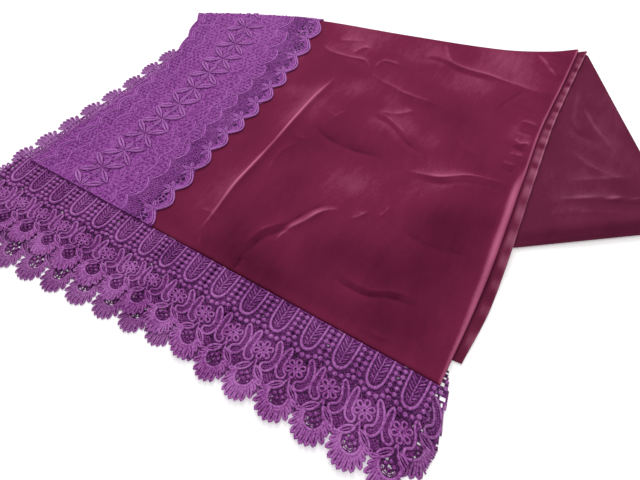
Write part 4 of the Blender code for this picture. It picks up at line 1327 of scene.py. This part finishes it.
def make_galloon_cords():
    """Everything worked on the galloon's ground: stars, scalloped lines, dots, leaves and borders."""
    stars, lines = Lacework(), Lacework()
    for cx, cy, pitch in star_places():
        galloon_star(stars, cx, cy, pitch / 34.0)
        for work in (galloon_borders, galloon_dots, galloon_net):
            work(lines, cx, cy, pitch)

    def keep(x, y):
        inside = (x > galloon_edge(y, -1) - 1.2) & (x < galloon_edge(y, 1) + 1.0)
        return inside & (y > HEM_Y) & (y < far_fold(x) + 9.0)

    for name, lace in (("galloon_stars", stars), ("galloon_lines", lines)):
        lace_piece(name, lace.parts(), keep, lambda x, y, h: on_galloon(x, y, h + 0.2), galloon_cord)


# Left edging

def make_left_edging():
    """Narrow edging past the galloon: a worked band, a row of rings and combs of picots."""
    lace = Lacework()
    picots = 6
    start, end = 2.0, 274.0
    pitch = (end - start) / PICOT_FANS
    below_hem = start - pitch

    def worked(x, y):
        """Where the edging is worked close: from the combs' roots to its sewn side."""
        kept = (x > picot_tips(y) + 12.0) & (x < left_edge(y) - 4.5)
        hole = np.hypot((x + 40) % 5.2 - 2.6, (y + 2.6 * ((x + 40) // 5.2 % 2)) % 5.2 - 2.6) < 0.9
        return kept & ~hole

    lace.ground(worked, (-40.0, 30.0, below_hem, end), 1.3, 0.3)
    for n in range(-1, PICOT_FANS):
        middle = start + (n + 0.5) * pitch
        for k in range(picots):
            lean = (k - (picots - 1) / 2) / (picots / 2)
            y, root_y = middle + 0.485 * pitch * lean, middle + 0.31 * pitch * lean
            tip = float(picot_tips(y)) + 7.5 * abs(lean)**2.2
            root = float(picot_tips(root_y)) + 13.0
            length = math.hypot(root - tip, y - root_y)
            angle = math.degrees(math.atan2(y - root_y, tip - root))
            loop = curve([(0, -0.7), (length - 3.4, -1.5), (length - 0.9, -1.35), (length, 0),
                          (length - 0.9, 1.35), (length - 3.4, 1.5), (0, 0.7)], 1.4)
            lace.cord(turned(loop, (root, root_y), angle), 1.0, 0.9, 5, 0.9, 0.7)
            lace.cord([(root, root_y), (tip + 1, y)], 1.2, 0.5, 4, 0.25, 0.2)
            lace.bead(tip - 0.6, y, 1.1, 0.9, 0.8, 6, 3, 0.7)
        for k in range(4):
            y = start + (n + (k + 0.5) / 4) * pitch
            x = float(picot_tips(y)) + 16.4
            lace.cord(arc(x, y, 2.5, 2.5, 0, 360, 1.4), 0.75, 1.0, 5, 0.9, 0.75)
            lace.bead(x, y, 0.9, 1.0, 0.8, 6, 3, 0.6)
        t = np.linspace(-0.5, 0.5, 13)
        y = middle + t * pitch
        inner = picot_tips(y) + 12.5 + 1.5 * (2 * t)**2
        for out, radius in ((0.0, 0.7), (7.0, 0.8)):
            lace.cord(np.column_stack([inner + out, y]), radius, 1.0, 5, 0.9, 0.7)
    sewn = 5.6          # from the left edge to where the edging is sewn down
    rows = np.linspace(below_hem, end, 68)
    for share in (0.3, 0.62, 0.94):
        near, base = picot_tips(rows) + 20.0, left_edge(rows) - sewn
        lace.cord(np.column_stack([near + (base - near) * share, rows]), 0.75, 0.8, 5, 0.9, 0.55)
    threads = 150
    for k in range(threads):
        y = start + (end - start) * (k + 0.5) / threads
        near, base = float(picot_tips(y)) + 18.0, float(left_edge(y)) - sewn
        drift = 2.2 if k % 2 else -2.2
        lace.cord([(near, y), ((near + base) / 2, y + drift), (base, y)], 0.5, 0.7, 4, 0.9, 0.35)
    piece = lace_piece("edging_fans", lace.parts(), lambda x, y: (y > 0) | (x < -21),
                       lambda x, y, h: np.column_stack([x, y, rest_height(x, y) + h]), edging_cord)
    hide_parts("left_edging")


# Camera, light and floor

def make_camera():
    """A camera held over the near right corner, looking down and to the left."""
    right, up = (0.85417, 0.51834, -0.04142), (-0.41930, 0.73368, 0.53470)
    back = (0.30755, -0.43935, 0.84403)
    place = to_frame([(528.7, -132.9, 438.8)])[0]
    lens = bpy.data.cameras.new("camera")
    lens.lens = 27.0
    lens.sensor_width = 36.0
    lens.clip_start = 0.01
    camera = placed("camera", lens)
    camera.matrix_world = Matrix([*zip(right, up, back, place), (0, 0, 0, 1)])
    bpy.context.scene.camera = camera


def make_light(name, place, size, power, colour):
    """A round lamp that faces the middle of the stole."""
    lamp = bpy.data.lights.new(name, "AREA")
    lamp.shape = "DISK"
    lamp.size = size
    lamp.energy = power
    lamp.color = linear(colour)[:3]
    made = placed(name, lamp)
    made.location = place
    made.rotation_euler = (-Vector(place)).to_track_quat("-Z", "Y").to_euler()


def make_floor():
    """A wide white board, lit enough to come out as white as the photo's."""
    side = 6.0
    mesh = bpy.data.meshes.new("floor")
    mesh.from_pydata([(-side, -side, 0), (side, -side, 0), (side, side, 0), (-side, side, 0)], [],
                     [(0, 1, 2, 3)])
    material, _ = shaded("white_board", {
        "Base Color": (0.93, 0.93, 0.93, 1), "Roughness": 0.9, "Specular IOR Level": 0.1,
        "Emission Color": (1, 1, 1, 1), "Emission Strength": 0.27})
    mesh.materials.append(material)
    floor = placed("floor", mesh)


make_camera()
top_panel = make_top_layer()
second_panel = make_second_layer()
turned_strip = make_under_fold()
make_upper_trim()
make_lower_trim()
ground = make_galloon_ground()
make_galloon_cords()
make_left_edging()
make_floor()

make_light("window_over_far_left", (-0.9, 1.3, 1.6), 1.4, 24.0, "fffaf4")
make_light("ceiling", (0.2, 0.0, 2.2), 2.0, 12.0, "ffffff")
world = bpy.data.worlds.new("pale_room")
world.use_nodes = True
world.node_tree.nodes["Background"].inputs["Color"].default_value = (1, 1, 1, 1)
world.node_tree.nodes["Background"].inputs["Strength"].default_value = 0.5
bpy.context.scene.world = world
bpy.context.scene.view_settings.view_transform = "Standard"
